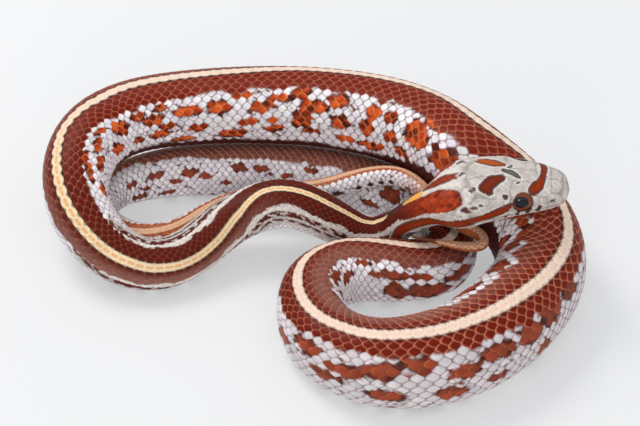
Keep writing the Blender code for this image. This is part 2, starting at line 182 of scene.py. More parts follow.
NOSTRIL_RADIUS = 0.36
SKIN_INSET = 0.13


def quarter(roundness, width, height):
    """A quarter of a rounded section: share of its arc, share across and share of its rise."""
    angle = np.linspace(0, math.pi / 2, 400)
    across = np.sin(angle) ** (2 / roundness)
    rise = np.abs(np.cos(angle)) ** (2 / roundness)
    steps = np.hypot(np.diff(across * width), np.diff(rise * height))
    arc = np.concatenate([[0], np.cumsum(steps)])
    return arc / arc[-1], across, rise, angle


def loaf():
    """The body's section by share of the way round from the back, and its length in widths."""
    angle = np.linspace(-math.pi, math.pi, 1441)
    upper = np.cos(angle) >= 0
    power = 2 / np.where(upper, UPPER_ROUNDNESS, LOWER_ROUNDNESS)
    across = 0.5 * np.sign(np.sin(angle)) * np.abs(np.sin(angle)) ** power
    reach = np.where(upper, 1 - BELLY_SHARE, BELLY_SHARE)
    rise = reach * np.sign(np.cos(angle)) * np.abs(np.cos(angle)) ** power
    rise = np.where(rise < -FLAT_SHARE, -BELLY_SHARE, rise) * HEIGHT_SHARE
    around = np.concatenate([[0], np.cumsum(np.hypot(np.diff(across), np.diff(rise)))])
    return around / around[-1] - 0.5, across, rise, around[-1]


LOAF = loaf()
CROWN = quarter(CROWN_ROUNDNESS, 5.5, 4.0)
JAW = quarter(JAW_ROUNDNESS, 5.3, 2.4)


def head_sizes():
    """The head's sizes, finely spaced from the snout to where the neck takes over."""
    neck = float(np.interp(HEAD_END, PLACES, WIDTH))
    height = neck * HEIGHT_SHARE
    table = np.vstack([HEAD_FORM, (HEAD_END, neck / 2, (1 - BELLY_SHARE) * height,
                                   BELLY_SHARE * height)])
    roots = np.linspace(0, math.sqrt(HEAD_END + SNOUT), 500)
    sizes = spline(np.sqrt(table[:, 0] + SNOUT), table[:, 1:], roots)
    return roots ** 2 - SNOUT, np.maximum(sizes, 0.01)


HEAD_PLACES, HEAD_SIZES = head_sizes()


def along_line(place):
    """The body's centre and its side and up directions at distances from the snout."""
    before = np.minimum(place, 0)[:, None]
    found = [np.stack([np.interp(place, PLACES, table[:, k]) for k in range(3)], axis=1)
             for table in (CENTRE, SIDE, UP)]
    found[0] += before * (CENTRE[1] - CENTRE[0]) / STEP
    return found


def section(place, turn):
    """Across and rise of the skin at a distance from the snout and a share of the way round."""
    width = np.interp(place, PLACES, WIDTH)
    across = np.interp(turn, LOAF[0], LOAF[1]) * width
    rise = np.interp(turn, LOAF[0], LOAF[2]) * width
    fade = np.clip((HEAD_FADE[1] - place) / (HEAD_FADE[1] - HEAD_FADE[0]), 0, 1)
    fade = fade * fade * (3 - 2 * fade)
    half, crown, jaw = [np.interp(place, HEAD_PLACES, HEAD_SIZES[:, k]) for k in range(3)]
    lip = np.minimum(LIP_HEIGHT, 0.3 * jaw)
    turned = np.abs(turn)
    over = np.clip(turned / LIP_TURN, 0, 1)
    under = np.clip((0.5 - turned) / (0.5 - LIP_TURN), 0, 1)
    angle = np.degrees(np.interp(over, CROWN[0], CROWN[3]))
    brow = BROW_RISE * np.exp(-((place - BROW_BACK) / BROW_REACH) ** 2)
    brow = brow * np.exp(-((angle - BROW_TURN) / BROW_SPREAD) ** 2)
    opened = np.clip((MOUTH_CORNER - place) / MOUTH_FADE, 0, 1)
    lower = half * (1 - (1 - JAW_INSET) * opened)
    on_crown = turned <= LIP_TURN
    head_across = np.where(on_crown, half * np.interp(over, CROWN[0], CROWN[1]) + brow,
                           lower * np.interp(under, JAW[0], JAW[1]))
    head_rise = np.where(on_crown, lip + (crown - lip) * np.interp(over, CROWN[0], CROWN[2]),
                         -lip - (jaw - lip) * np.interp(under, JAW[0], JAW[2]))
    head_across = np.copysign(head_across, turn)
    return across + (head_across - across) * fade, rise + (head_rise - rise) * fade


def bare(place, turn):
    """Points of the smooth outer form, in millimetres."""
    centre, side, up = along_line(place)
    across, rise = section(place, turn)
    return centre + side * across[:, None] + up * rise[:, None]


def girth_at(place):
    """Length once round the body, in millimetres."""
    body = LOAF[3] * np.interp(place, PLACES, WIDTH)
    half, crown, jaw = [np.interp(place, HEAD_PLACES, HEAD_SIZES[:, k]) for k in range(3)]
    head = 3.5 * half + 2 * (crown + jaw) * 0.8
    return np.where(place < HEAD_END, head, body)


def eye_frame(sign):
    """Centre of an eye and its outward, rearward and downward directions, in millimetres."""
    centre, side, up = [table[0] for table in along_line(np.array([EYE_BACK]))]
    behind = along_line(np.array([EYE_BACK + STEP]))[0][0]
    half = float(np.interp(EYE_BACK, HEAD_PLACES, HEAD_SIZES[:, 0]))
    place = centre + side * sign * (half - EYE_SINK) + up * EYE_RISE
    lean = math.radians(EYE_TILT)
    outward = side * sign * math.cos(lean) + up * math.sin(lean)
    rearward = behind - centre
    rearward -= outward * rearward.dot(outward)
    rearward /= np.linalg.norm(rearward)
    return place, outward, rearward, np.cross(outward, rearward)


EYES = {"left": eye_frame(1), "right": eye_frame(-1)}


def eye_reach(points):
    """How many eye radii each point lies from the nearer eye's middle, seen from beside it."""
    reach = np.full(len(points), 9.0)
    for place, outward, rearward, downward in EYES.values():
        gap = points - place
        out = gap @ outward
        flat = np.hypot(gap @ rearward / EYE_RADII[1], gap @ downward / EYE_RADII[2])
        reach = np.minimum(reach, np.where(out > -0.6, flat, 9.0))
    return reach


def nostril_reach(place, turn, points):
    """How many nostril radii each point lies from the nearer nostril."""
    centre, side, up = [table[0] for table in along_line(np.array([NOSTRIL_BACK]))]
    gap = points - centre
    behind = (place - NOSTRIL_BACK) / 1.3
    return np.hypot(behind, gap @ up - NOSTRIL_RISE) / NOSTRIL_RADIUS


def relief(place, turn, points):
    """How far the mouth line, the eye sockets and the nostrils stand in or out."""
    opened = np.clip((MOUTH_CORNER - place) / MOUTH_FADE, 0, 1)
    beside = (np.abs(turn) - LIP_TURN) * girth_at(place)
    out = -MOUTH_DEPTH * opened * np.exp(-(beside / MOUTH_WIDTH) ** 2)
    head = place < HEAD_END
    eyes = np.where(head, eye_reach(points), 9.0)
    out += 0.10 * np.exp(-((eyes - 1.1) / 0.12) ** 2) - 1.2 * np.clip(1.02 - eyes, 0, 0.5)
    nostrils = np.where(head & (np.abs(turn) < LIP_TURN), nostril_reach(place, turn, points), 9.0)
    return out - 0.5 * np.exp(-nostrils ** 2)


def surface(place, turn, out):
    """Points over the skin, in metres, from millimetres back, share round and how far out."""
    turn = (turn + 0.5) % 1 - 0.5
    points = bare(place, turn)
    ahead = bare(place + 0.06, turn) - bare(place - 0.06, turn)
    after, before = np.minimum(turn + 0.003, 0.5), np.maximum(turn - 0.003, -0.5)
    round_it = bare(place, after) - bare(place, before)
    normal = np.cross(round_it, ahead)
    normal /= np.maximum(np.linalg.norm(normal, axis=1), 1e-9)[:, None]
    lift = out - SKIN_INSET + relief(place, turn, points)
    return (points + normal * lift[:, None]) * MM


# markings: how far they are rolled round the body, and how wide each band of colour is there
ROLL = [
    (0, -5), (15, -5), (18, -13), (20, -13), (22, 2), (24, 11), (25.4, 16), (26.7, 22), (28.2,
    28), (34, 31), (37, 24), (39.7, 2), (43.4, 1), (46.5, 5), (49.6, 10), (52.2, 12), (57,
    10), (60, 8), (61.8, 12), (63.6, 24), (65.9, 41), (69, 50), (72.4, 58), (77, 62), (80.6,
    62), (85, 56), (87.9, 49), (91.3, 44), (98.2, 36), (103, 31), (112.5, 30), (116.6, 20),
    (120, 10), (131, 10), (138, 12), (145, 15), (155, 23), (172, 25), (180, 30), (189, 27),
    (197, 33), (208, 34), (215, 30), (223, 25), (237.4, 11), (248, 6), (258, 7), (267, 17),
    (276.6, 27), (283, 31), (292, 14), (302, -8), (312, -24), (325, -48), (338, -60), (362,
    -60), (374, -45), (390, -22), (402, -3), (406, 0), (428, 3), (433, 13), (440, 18), (455,
    20), (480, 20)]
STRIPE_HALF = [
    (16, 26), (19, 22), (22, 14), (25, 14), (27.5, 10), (28.6, 5), (34, 5), (38, 7.5), (50,
    7.6), (66, 8.5), (90, 9), (120, 8.2), (150, 7.6), (250, 7.8), (300, 8), (380, 12), (440,
    14), (475, 14)]
STRIPE_GAP = (28.6, 35.6)
BORDER = 3.0
# the band on the side of positive angle is widest from about 182 to 214, on the near loop under the
# head, partly as painted shade of the head
BAND_LEFT = [
    (17, 76), (20, 76), (23, 71), (26, 63), (30, 51), (35, 46), (40, 41), (47, 49), (56, 43),
    (66, 48), (100, 48), (118, 50), (135, 43), (160, 47), (182, 52), (205, 58), (214, 56),
    (224, 40), (236, 38), (245, 66), (262, 66), (275, 56), (300, 50), (400, 30), (475, 34)]
BAND_RIGHT = [
    (17, 76), (20, 76), (23, 71), (26, 63), (30, 51), (35, 46), (40, 41), (47, 46), (56, 43),
    (66, 45), (80, 45), (87, 45), (92, 48), (98, 50), (106, 46), (205, 42), (216, 32), (258,
    32), (272, 40), (310, 60), (325, 76), (338, 90), (349.5, 88), (355, 84), (365, 72), (371,
    56), (400, 30), (475, 34)]
LINE_WIDTH = [(17, 12), (30, 14), (80, 13), (96, 0), (480, 0)]
LOWER_REACH = [(17, 26), (30, 30), (84, 30), (98, 0), (480, 0)]
BELLY_EDGE = 126.0

# blotches seen on the flanks: distance, degrees from the stripe, half length, half height. Those from
# 182.6 to 203.0, on the near loop under the head, are real blotches set large so that they also carry
# painted shade of the head
BLOTCHES = [
    (101.5, 80, 1.3, 6), (104.8, 58, 1.4, 6), (107.3, 52, 1.3, 5), (107.2, 82, 1.6, 7),
    (110.6, 70, 1.5, 8), (114.2, 58, 1.1, 5), (115.4, 103, 1.9, 9), (118.9, 68, 2.4, 11),
    (123.6, 100, 1.4, 5), (124.8, 62, 1.6, 6), (127.9, 73, 2.0, 7), (129.4, 99, 2.2, 5),
    (129.8, 56, 1.4, 5), (131.2, 88, 1.9, 5), (134.2, 116, 2.2, 4), (135.0, 67, 2.6, 7),
    (136.6, 97, 1.8, 5), (140.8, 67, 1.9, 9), (143.4, 112, 2.2, 7), (145.9, 51, 1.8, 4),
    (146.6, 93, 1.6, 6), (149.0, 71, 2.3, 8), (151.2, 93, 1.3, 4), (152.4, 61, 1.7, 6),
    (150.9, 108, 1.8, 5), (155.9, 53, 1.6, 8), (156.6, 93, 1.5, 12), (158.6, 74, 2.4, 9),
    (158.4, 112, 1.6, 5), (163.3, 61, 1.5, 10), (163.8, 94, 1.6, 8), (165.2, 118, 2.0, 5),
    (169.9, 94, 1.5, 11), (171.0, 70, 1.5, 8), (171.2, 122, 3.0, 6), (175.9, 100, 1.6, 8),
    (175.0, 72, 1.2, 9), (179.6, 117, 1.8, 6), (182.6, 80, 2.8, 16), (184.6, 52, 2.4, 9),
    (190.0, 84, 2.6, 14), (196.5, 98, 2.0, 12), (203.0, 76, 2.4, 10), (219.5, -38, 1.6, 8),
    (225.0, -38, 2.2, 14), (230.0, -46, 2.0, 12), (235.8, -50, 2.2, 9), (241.0, -60, 2.4, 8),
    (246.4, -44, 2.0, 10), (250.8, -52, 1.9, 9), (255.0, -60, 2.6, 8), (261.0, -50, 2.0, 9),
    (250.2, -88, 1.9, 8), (242.6, -88, 1.7, 8), (258.0, -78, 2.2, 8), (236.2, -86, 1.3, 7),
    (227.4, -82, 1.4, 8), (223.5, 52, 1.6, 6), (212.0, 60, 2.0, 10), (231.0, 56, 2.0, 7),
    (281.2, 82, 1.4, 7), (285.8, 60, 1.3, 5), (288.0, 76, 1.2, 5), (291.0, 72, 1.5, 7),
    (291.4, 104, 1.5, 16), (294.8, 70, 1.3, 6), (296.0, 103, 2.1, 15), (299.8, 78, 1.6, 12),
    (300.6, 116, 1.5, 8), (320.4, -92, 2.0, 13), (324.4, -133, 1.6, 7), (336.8, -103, 1.2, 5),
    (346.2, -107, 1.2, 6), (350.4, -104, 1.3, 7), (356.6, -124, 1.4, 6), (359.6, -114, 1.5,
    9), (366.0, -107, 1.5, 8), (363.6, -159, 1.3, 6), (370.0, -152, 1.5, 8), (371.4, -108,
    1.3, 6), (341.5, -118, 1.0, 5), (344.5, -137, 1.2, 5), (352.6, -141, 1.1, 5), (362.4,
    -133, 1.0, 5), (368.2, -130, 1.1, 5), (331.6, -119, 1.2, 6)]
BLOTCH_STEP = 8.6
HIDDEN_FLANKS = [(-1, 112.0, 214.0), (1, 206.0, 278.0), (1, 304.0, 376.0), (-1, 266.0, 316.0)]

# marks on the head: colour, and along each one the distance, degrees round and half width
RUST = (174, 80, 28)
MAROON = (114, 38, 16)
DARK_RUST = (142, 46, 8)
SLATE = (70, 72, 62)
OLIVE = (104, 112, 92)
HEAD_MARKS = [
    (MAROON, [(11.6, -8, 0.75), (13.1, -13, 1.2), (14.4, -24, 1.15), (14.0, -34, 0.7)]),
    (RUST, [(10.8, 25, 0.4), (12.4, 31, 0.88), (14.1, 40, 0.75)]), (OLIVE, [(11.0, 11, 0.3),
    (9.9, 6, 0.5), (8.9, -2, 0.4), (8.4, -8, 0.2)]), (DARK_RUST, [(4.5, 55, 0.6), (4.15, 38,
    0.55), (4.3, 10, 0.5), (4.7, -12, 0.65), (5.3, -26, 1.05), (6.0, -38, 0.95)]), (DARK_RUST,
    [(22.8, 4, 0.4), (21.0, 9, 0.85), (19.3, 13, 0.9), (17.8, 13, 0.55)]), (MAROON, [(16.4,
    -25, 0.42), (16.3, -22, 0.3)]), (MAROON, [(11.2, -50, 0.42), (11.5, -47, 0.3)]), (MAROON,
    [(17.4, -62, 0.48), (17.7, -59, 0.4)]), (MAROON, [(16.4, -60, 0.25), (16.7, -59, 0.25)]),
    (SLATE, [(15.6, -58, 0.2), (15.8, -56, 0.15)]), (SLATE, [(17.3, 12, 0.2), (17.0, 16,
    0.2)]), (SLATE, [(8.5, -20, 0.16), (8.9, -22, 0.12)]), (SLATE, [(9.6, 22, 0.2), (10.2, 18,
    0.1)]), (MAROON, [(16.8, 48, 0.35), (17.4, 44, 0.25)]), (SLATE, [(14.9, 62, 0.2), (15.3,
    60, 0.2)]), (DARK_RUST, [(10.2, -68, 0.6), (12.0, -76, 0.85), (14.5, -83, 0.85), (17.5,
    -89, 0.85), (20.5, -94, 0.9), (24.0, -102, 0.9), (28.0, -107, 0.9), (33.0, -111, 0.9),
    (36.5, -113, 0.8)]), (DARK_RUST, [(10.2, 72, 0.6), (12.0, 79, 0.85), (14.5, 85, 0.85),
    (17.5, 91, 0.85), (20.5, 97, 0.9), (24.0, 102, 0.9), (28.0, 107, 0.9), (33.0, 111, 0.9),
    (36.5, 113, 0.8)]), (MAROON, [(6.6, -82, 0.42), (6.9, -96, 0.42)]), (MAROON, [(4.9, -84,
    0.35), (5.1, -95, 0.4)]), (MAROON, [(8.5, -88, 0.35), (8.8, -97, 0.4)]), (MAROON, [(10.8,
    -92, 0.2), (11.2, -98, 0.3)]), (MAROON, [(6.8, 86, 0.3), (7.0, 93, 0.25)]), (MAROON,
    [(5.1, 82, 0.25), (5.2, 92, 0.22)])]
MARKED_TO = 38.0
MARK_EDGE = 0.2
MARK_HALO = 0.38


def linear(red, green, blue):
    """A colour as the eye names it, turned into amounts of light."""
    shares = np.array([red, green, blue]) / 255
    return np.where(shares <= 0.04045, shares / 12.92, ((shares + 0.055) / 1.055) ** 2.4)


CREAM = linear(248, 222, 180)
ORANGE = linear(226, 138, 62)
PINK_CREAM = linear(246, 220, 200)
PINK_ORANGE = linear(232, 184, 156)
NEAR_BLACK = linear(36, 16, 12)
DEEP_RED = linear(84, 18, 4)
BAND_RED = linear(124, 26, 2)
PINK_NET_AND_HIGHLIGHT = linear(208, 128, 96)
BLOTCH_ORANGE = linear(192, 66, 16)
BRIGHT_ORANGE = linear(220, 96, 36)
ORANGE_RIM_AND_HIGHLIGHT = linear(226, 140, 86)
BLOTCH_RIM = linear(64, 24, 16)
FLANK_WHITE = linear(248, 242, 242)
FLANK_SEAM = linear(122, 98, 98)
LAVENDER = linear(222, 213, 220)
MAUVE = linear(146, 98, 86)
FLANK_GREY = linear(204, 194, 194)
DULL_BROWN = linear(126, 60, 42)
BELLY_WHITE = linear(224, 216, 210)
# a maroon that is painted shade, laid on the lower flank and belly plates where the coils and the
# head shade them
PAINTED_SHADE_MAROON = linear(74, 28, 24)
MOTTLE_BROWN = linear(112, 62, 48)
TAIL_BROWN = linear(168, 90, 52)
TAIL_BEIGE = linear(232, 184, 148)
HEAD_GREY = linear(186, 176, 168)
HEAD_PALE = linear(223, 213, 205)
STRIPE_START = linear(246, 176, 84)

chance = np.random.default_rng(27)


def blotch_places():
    """The listed blotches, and more of the same in two rows where the coils hide the flank."""
    found = list(BLOTCHES)
    for side, start, end in HIDDEN_FLANKS:
        place = start
        while place < end:
            size = float(np.interp(place, (94, 130, 250, 376), (0.6, 1, 1, 0.55)))
            found.append((place, side * (66 + chance.uniform(-6, 6)),
                          size * chance.uniform(1.6, 2.8), chance.uniform(7, 12)))
            found.append((place + BLOTCH_STEP * chance.uniform(0.35, 0.6),
                          side * (96 + chance.uniform(-8, 8)),
                          size * chance.uniform(1.3, 2.2), chance.uniform(6, 10)))
            place += BLOTCH_STEP * chance.uniform(0.85, 1.15)
    return np.array(found)


ALL_BLOTCHES = blotch_places()
WAVES = chance.uniform(-1, 1, (9, 2))
PHASES = chance.uniform(0, 2 * math.pi, 9)


def ripple(x, y, length):
    """A smooth wandering value from -1 to 1, with waves of about the length given."""
    total = np.zeros(len(x))
    for (a, b), phase in zip(WAVES, PHASES):
        total += np.sin((x * a + y * b) * 2 * math.pi / length * 1.6 + phase)
    return total / 4


def blend(first, second, share):
    """Mix two colours, or lists of colours, by a share."""
    share = np.clip(share, 0, 1)[:, None]
    return first * (1 - share) + second * share


def step_up(value, at, soft):
    """Rise smoothly from 0 to 1 as the value passes a place."""
    share = np.clip((value - at) / soft + 0.5, 0, 1)
    return share * share * (3 - 2 * share)


def from_mark(place, turn, points):
    """How far each place is from a mark on the head, in millimetres, and below 0 inside it."""
    round_here = girth_at(place) / 360
    nearest = np.full(len(place), 99.0)
    for (x0, y0, r0), (x1, y1, r1) in zip(points, points[1:]):
        run = np.stack([np.full(len(place), x1 - x0), (y1 - y0) * round_here])
        gap = np.stack([place - x0, (turn * 360 - y0) * round_here])
        share = np.clip((run * gap).sum(axis=0) / (run ** 2).sum(axis=0), 0, 1)
        reach = np.hypot(*(gap - run * share)) - (r0 + (r1 - r0) * share)
        nearest = np.minimum(nearest, reach)
    return nearest


def rolled(place, turn):
    """Degrees round the body from the stripe at each place."""
    angle = (turn + 0.5) % 1 * 360 - 180 + read(ROLL, place)
    return (angle + 180) % 360 - 180


def markings_and_painted_light(place, turn, tone):
    """Colours of the middle and of the edge of a scale that stands at each place, painted shade and
    painted highlights included.
    """
    angle = rolled(place, turn)
    away = np.abs(angle)
    arc = angle / 360 * girth_at(place)
    many = (len(place), 1)
    middle = np.tile(FLANK_WHITE, many)
    edge = np.tile(FLANK_SEAM, many)
    flat = np.abs((turn + 0.5) % 1 - 0.5) * 360
    tint = step_up(ripple(place * 1.3, arc, 2.2) + 0.8 * tone, 0.3, 1.0)
    middle = blend(middle, LAVENDER, tint)

    inside = np.full(len(place), 9.0)
    for spot, round_it, length, height in ALL_BLOTCHES:
        near = np.abs(place - spot) < length * 2
        reach = np.hypot((place[near] - spot) / length, (angle[near] - round_it) / height)
        inside[near] = np.minimum(inside[near], reach)
    inside = inside + 0.22 * ripple(place, arc, 2.6) + 0.14 * tone
    fill = step_up(inside, 1.2, 0.1)
    dull = read([(94, 0.1), (120, 0.0), (185, 0.0), (205, 0.6), (215, 0.75), (300, 0.7),
                 (320, 0.75), (480, 0.75)], place)
    near_grey = read([(205, 0), (222, 0.7), (262, 0.7), (275, 0)], place) * (angle < 0)
    middle = blend(middle, FLANK_GREY, near_grey)
    varied = 0.6 * ripple(arc * 1.4, place, 1.7) + 0.6 * tone
    warm = blend(np.tile(BLOTCH_ORANGE, many), BRIGHT_ORANGE, (1 - dull) * varied)
    warm = blend(warm, DEEP_RED, 0.25 - 0.8 * varied)
    warm = blend(warm, DULL_BROWN, dull)
    blotch = blend(warm, BLOTCH_RIM, 0.85 * step_up(inside - 0.25 * varied, 1.08, 0.1))
    rim = (inside < 1.4) & (tone > 0.5 + 0.3 * near_grey)
    brown = blend(np.tile(BLOTCH_RIM, many), MOTTLE_BROWN, 2.5 * (tone - 0.6) + dull)
    edge = blend(edge, BLOTCH_RIM, 0.7 * step_up(ripple(arc, place, 3.1) + 0.5 * tone, 0.6, 0.3))
    middle = np.where(rim[:, None], brown, middle)
    fleck = step_up(ripple(place * 1.6, arc * 2.2, 2.4) + 0.5 * tone, 1.05, 0.4)
    middle = blend(middle, MOTTLE_BROWN, fleck)
    middle = blend(middle, blotch, 1 - fill)
    # the light orange round the edges of blotch scales is partly their own paler rim and partly
    # painted highlight
    lit = blend(blotch * 0.7, ORANGE_RIM_AND_HIGHLIGHT, (0.75 - 0.8 * dull) * (1 - step_up(inside, 0.9, 0.3)))
    edge = blend(edge, lit, 1 - fill)

    belly = step_up(flat, BELLY_EDGE, 10)
    middle = blend(middle, BELLY_WHITE, belly)
    edge = blend(edge, BELLY_WHITE * 0.75, belly)

    side_edge = np.where(angle > 0, read(BAND_LEFT, place), read(BAND_RIGHT, place))
    line = side_edge + read(LINE_WIDTH, place)
    below = away - line
    lower = read(LOWER_REACH, place)
    mottled = (lower > 5) & (below > 0) & (below < lower + 12)
    dark = step_up(ripple(place, arc * 2, 2.4) + 0.5 * tone, -0.45, 0.4)
    dark = dark * np.where((below > 15) & (below < 21), 0.1, 1) * (1 - step_up(below, lower, 8))
    shades = blend(np.tile(MOTTLE_BROWN, many), DEEP_RED, 0.5 + 0.5 * tone)
    mottle = blend(np.tile(BELLY_WHITE * 0.85, many), shades, dark)
    middle = np.where(mottled[:, None], mottle, middle)
    edge = np.where(mottled[:, None], mottle * 0.6, edge)
    pale = (below <= 0) & (lower > 5)
    middle = np.where(pale[:, None], HEAD_PALE, middle)
    edge = np.where(pale[:, None], HEAD_PALE * 0.8, edge)

    # painted shade: from 98 to 219 the lower flank on the side of positive angle, under the top run
    # and under the head, is darkened to maroon up to the margin given for each distance
    painted_shade = step_up(place, 98, 8) * (1 - step_up(place, 219, 6)) * (angle > 0)
    margin = read([(98, 106), (150, 112), (172, 112), (186, 90), (206, 70), (216, 76)], place)
    painted_shade = painted_shade * step_up(flat + 2 * tone, margin, 5)
    middle = blend(middle, PAINTED_SHADE_MAROON, painted_shade)
    edge = blend(edge, PAINTED_SHADE_MAROON * 0.6, painted_shade)

    tail = step_up(place, 376, 20)
    under = tail * step_up(flat + 6 * tone, 88, 8) * (1 - step_up(flat, 112, 8))
    middle = blend(middle, BLOTCH_RIM, under * step_up(ripple(place, arc, 3) + tone, -0.2, 0.4))

    band = 1 - step_up(away, side_edge + 3 * tone + 3.5 * ripple(place, arc, 7), 2)
    deep = read([(20, 0.1), (26, 0.4), (32, 0.9), (90, 0.9), (125, 0.2), (200, 0.2), (240, 0.35),
                 (300, 0.7)], place)
    red = blend(np.tile(BAND_RED, many), DEEP_RED, deep + 0.25 * tone)
    red = blend(red, BLOTCH_ORANGE, 0.4 * (1 - step_up(place, 25, 8)) * (1 + tone))
    dusk = np.where(angle < 0, read([(58, 0), (70, 0.9), (92, 0.9), (112, 0)], place),
                    read([(200, 0.0), (220, 0.4), (244, 0.85), (262, 0.85), (290, 0.4),
                          (310, 0.2)], place))
    dusk = dusk * step_up(away, 24, 26)
    dusk = np.maximum(dusk, read([(305, 0), (320, 0.65), (385, 0.65), (400, 0)], place))
    red = blend(red, MAUVE, dusk)
    red = blend(red, TAIL_BROWN, tail)
    # the pink net round the band's scales is partly their own lighter edges and partly painted
    # highlight
    net = read([(20, 0.3), (32, 0.1), (90, 0.2), (116, 0.6), (215, 0.66), (300, 0.66), (330, 0.9),
                (480, 0.9)], place)
    middle = blend(middle, red, band)
    edge = blend(edge, blend(red * 0.45, PINK_NET_AND_HIGHLIGHT, net), band)

    tip = step_up(place, 444, 10)
    pale_tip = blend(np.tile(TAIL_BROWN, many), TAIL_BEIGE, 0.75 * (1 - step_up(away, 60, 20)))
    middle = blend(middle, pale_tip, tip)
    edge = blend(edge, TAIL_BROWN * 0.5, tip)

    front = 17.7 + 2.5 * np.clip((away - 49) / 27, -1.4, 1.4) ** 4
    head = 1 - step_up(place, front, 0.3)
    cloud = 0.35 + 0.3 * ripple(place, arc, 4) + 0.3 * ripple(arc, place, 1.1)
    grey = blend(np.tile(HEAD_GREY, many), HEAD_PALE, cloud)
    grey = blend(grey, HEAD_PALE, 2 * step_up(place, front, 2.2))
    middle = blend(middle, grey, head)
    edge = blend(edge, grey * 0.85, head)
    outlined = np.exp(-((place - front - 0.15) / 0.22) ** 2)
    middle = blend(middle, NEAR_BLACK, 0.7 * outlined * (away < 74))
    shade = (1 + 0.13 * tone)[:, None]
    return np.clip(middle * shade, 0, 1), np.clip(edge * shade, 0, 1)


def striped(colours, place, turn, heart, swell):
    """Lay the stripe down the back; heart is 1 in the middle of its own row of scales."""
    angle = rolled(place, turn)
    away = np.abs(angle)
    half = read(STRIPE_HALF, place) + swell * 0.7 * step_up(place, 96, 30)
    gap = step_up(place, STRIPE_GAP[0], 1.0) * (1 - step_up(place, STRIPE_GAP[1], 1.0))
    behind = step_up(place, 24, 3)
    tail = step_up(place, 384, 24)
    border = (1 - step_up(away, half + BORDER + 2 * heart, 1.5)) * behind * (1 - 0.5 * tail)
    border = border * (1 - 0.5 * step_up(place, 214, 20))
    colours = blend(colours, NEAR_BLACK, border)
    pinker = step_up(place, 112, 24)
    many = (len(place), 1)
    light = blend(np.tile(CREAM, many), PINK_CREAM, pinker)
    light = blend(light, TAIL_BEIGE, tail)
    warm = blend(np.tile(ORANGE, many), PINK_ORANGE, pinker)
    warm = blend(warm, TAIL_BROWN, tail * 0.7)
    light = blend(light, warm, heart * (1 - step_up(away, 3.6, 2.5)) * (0.62 - 0.3 * pinker))
    light = blend(light, STRIPE_START, step_up(place, 22.6, 1.5) * (1 - step_up(place, 29, 4)))
    light = blend(light, HEAD_PALE, 1 - step_up(place, 22.0, 2.4))
    stripe = (1 - step_up(away, half, 1.2)) * (1 - gap) * step_up(place, 17.4, 0.8)
    stripe = stripe * (1 - 0.85 * step_up(place, 447, 8))
    return blend(colours, light, stripe)


def head_marked(colours, place, turn):
    """Lay the dark-edged marks of the head over the colours."""
    near = place < MARKED_TO
    part_place = place[near]
    part_turn = (turn[near] + 0.5) % 1 - 0.5
    wander = 0.06 * ripple(part_place, part_turn * girth_at(part_place), 0.9)
    here = colours[near]
    for (red, green, blue), points in HEAD_MARKS:
        gap = from_mark(part_place, part_turn, points) + wander
        here = blend(here, HEAD_PALE, 0.7 * (1 - step_up(gap, MARK_HALO, 0.2)))
        here = blend(here, NEAR_BLACK, 0.9 * (1 - step_up(gap, 0.05, 0.12)))
        middle = 1 - step_up(gap, -MARK_EDGE, 0.14)
        tint = linear(red, green, blue) * (0.8 + 0.5 * np.clip(-gap - 0.2, 0, 0.8))[:, None]
        here = here * (1 - middle[:, None]) + tint * middle[:, None]
    nostrils = nostril_reach(part_place, part_turn, bare(part_place, part_turn))
    nostrils = np.where(np.abs(part_turn) < LIP_TURN, nostrils, 9)
    here = blend(here, NEAR_BLACK, 0.9 * (1 - step_up(nostrils, 0.9, 0.4)))
    done = colours.copy()
    done[near] = here
    return done


# the unwrap: the skin is cut along the belly and into strips laid one above the other
STRIP = 119.0
STRIPS = 4
STRIP_HEIGHT = 0.24


def unwrap(place, turn, strip):
    """Where a place on the skin lies on the flat unwrap."""
    u = 0.01 + 0.98 * (place - strip * STRIP) / STRIP
    v = (strip + 0.5) / STRIPS + turn * STRIP_HEIGHT
    return np.column_stack([u, v])


class Field:
    """A number on a shader's wires, so that sums on it are written as plain arithmetic."""

    def __init__(self, finish, socket):
        self.finish = finish
        self.socket = socket

    def join(self, operation, *values):
        return self.finish.node("ShaderNodeMath", {"operation": operation}, dict(enumerate(values)))

    def __add__(self, other):
        return self.join("ADD", self, other)

    __radd__ = __add__

    def __mul__(self, other):
        return self.join("MULTIPLY", self, other)

    __rmul__ = __mul__

    def __sub__(self, other):
        return self.join("SUBTRACT", self, other)

    def __rsub__(self, other):
        return self.join("SUBTRACT", other, self)

    def __truediv__(self, other):
        return self.join("DIVIDE", self, other)

    def __pow__(self, other):
        return self.join("POWER", self, other)

    def risen(self, low, high):
        """0 below the low value, 1 above the high one."""
        return self.finish.node("ShaderNodeMapRange", {"interpolation_type": "SMOOTHSTEP"},
                                {"Value": self, "From Min": low, "From Max": high})


class Finish:
    """A material with one Principled shader; numbers that never change go on its sockets."""

    def __init__(self, name, constants):
        self.material = bpy.data.materials.new(name)
        self.material.use_nodes = True
        self.tree = self.material.node_tree
        self.shader = self.tree.nodes["Principled BSDF"]
        for socket, value in constants.items():
            self.shader.inputs[socket].default_value = value

    def fill(self, socket, value):
        if isinstance(value, Field):
            self.tree.links.new(value.socket, socket)
        else:
            socket.default_value = value

    def node(self, kind, settings, inputs, output=0):
        made = self.tree.nodes.new(kind)
        for name, value in settings.items():
            setattr(made, name, value)
        for name, value in inputs.items():
            self.fill(made.inputs[name], value)
        return Field(self, made.outputs[output])

    def mixed(self, share, first, second):
        """One colour turning into another."""
        return self.node("ShaderNodeMix", {"data_type": "RGBA", "clamp_factor": True},
                         {0: share, 6: first, 7: second}, 2)

    def feed(self, **inputs):
        for name, value in inputs.items():
            self.fill(self.shader.inputs[name.replace("_", " ").title()], value)


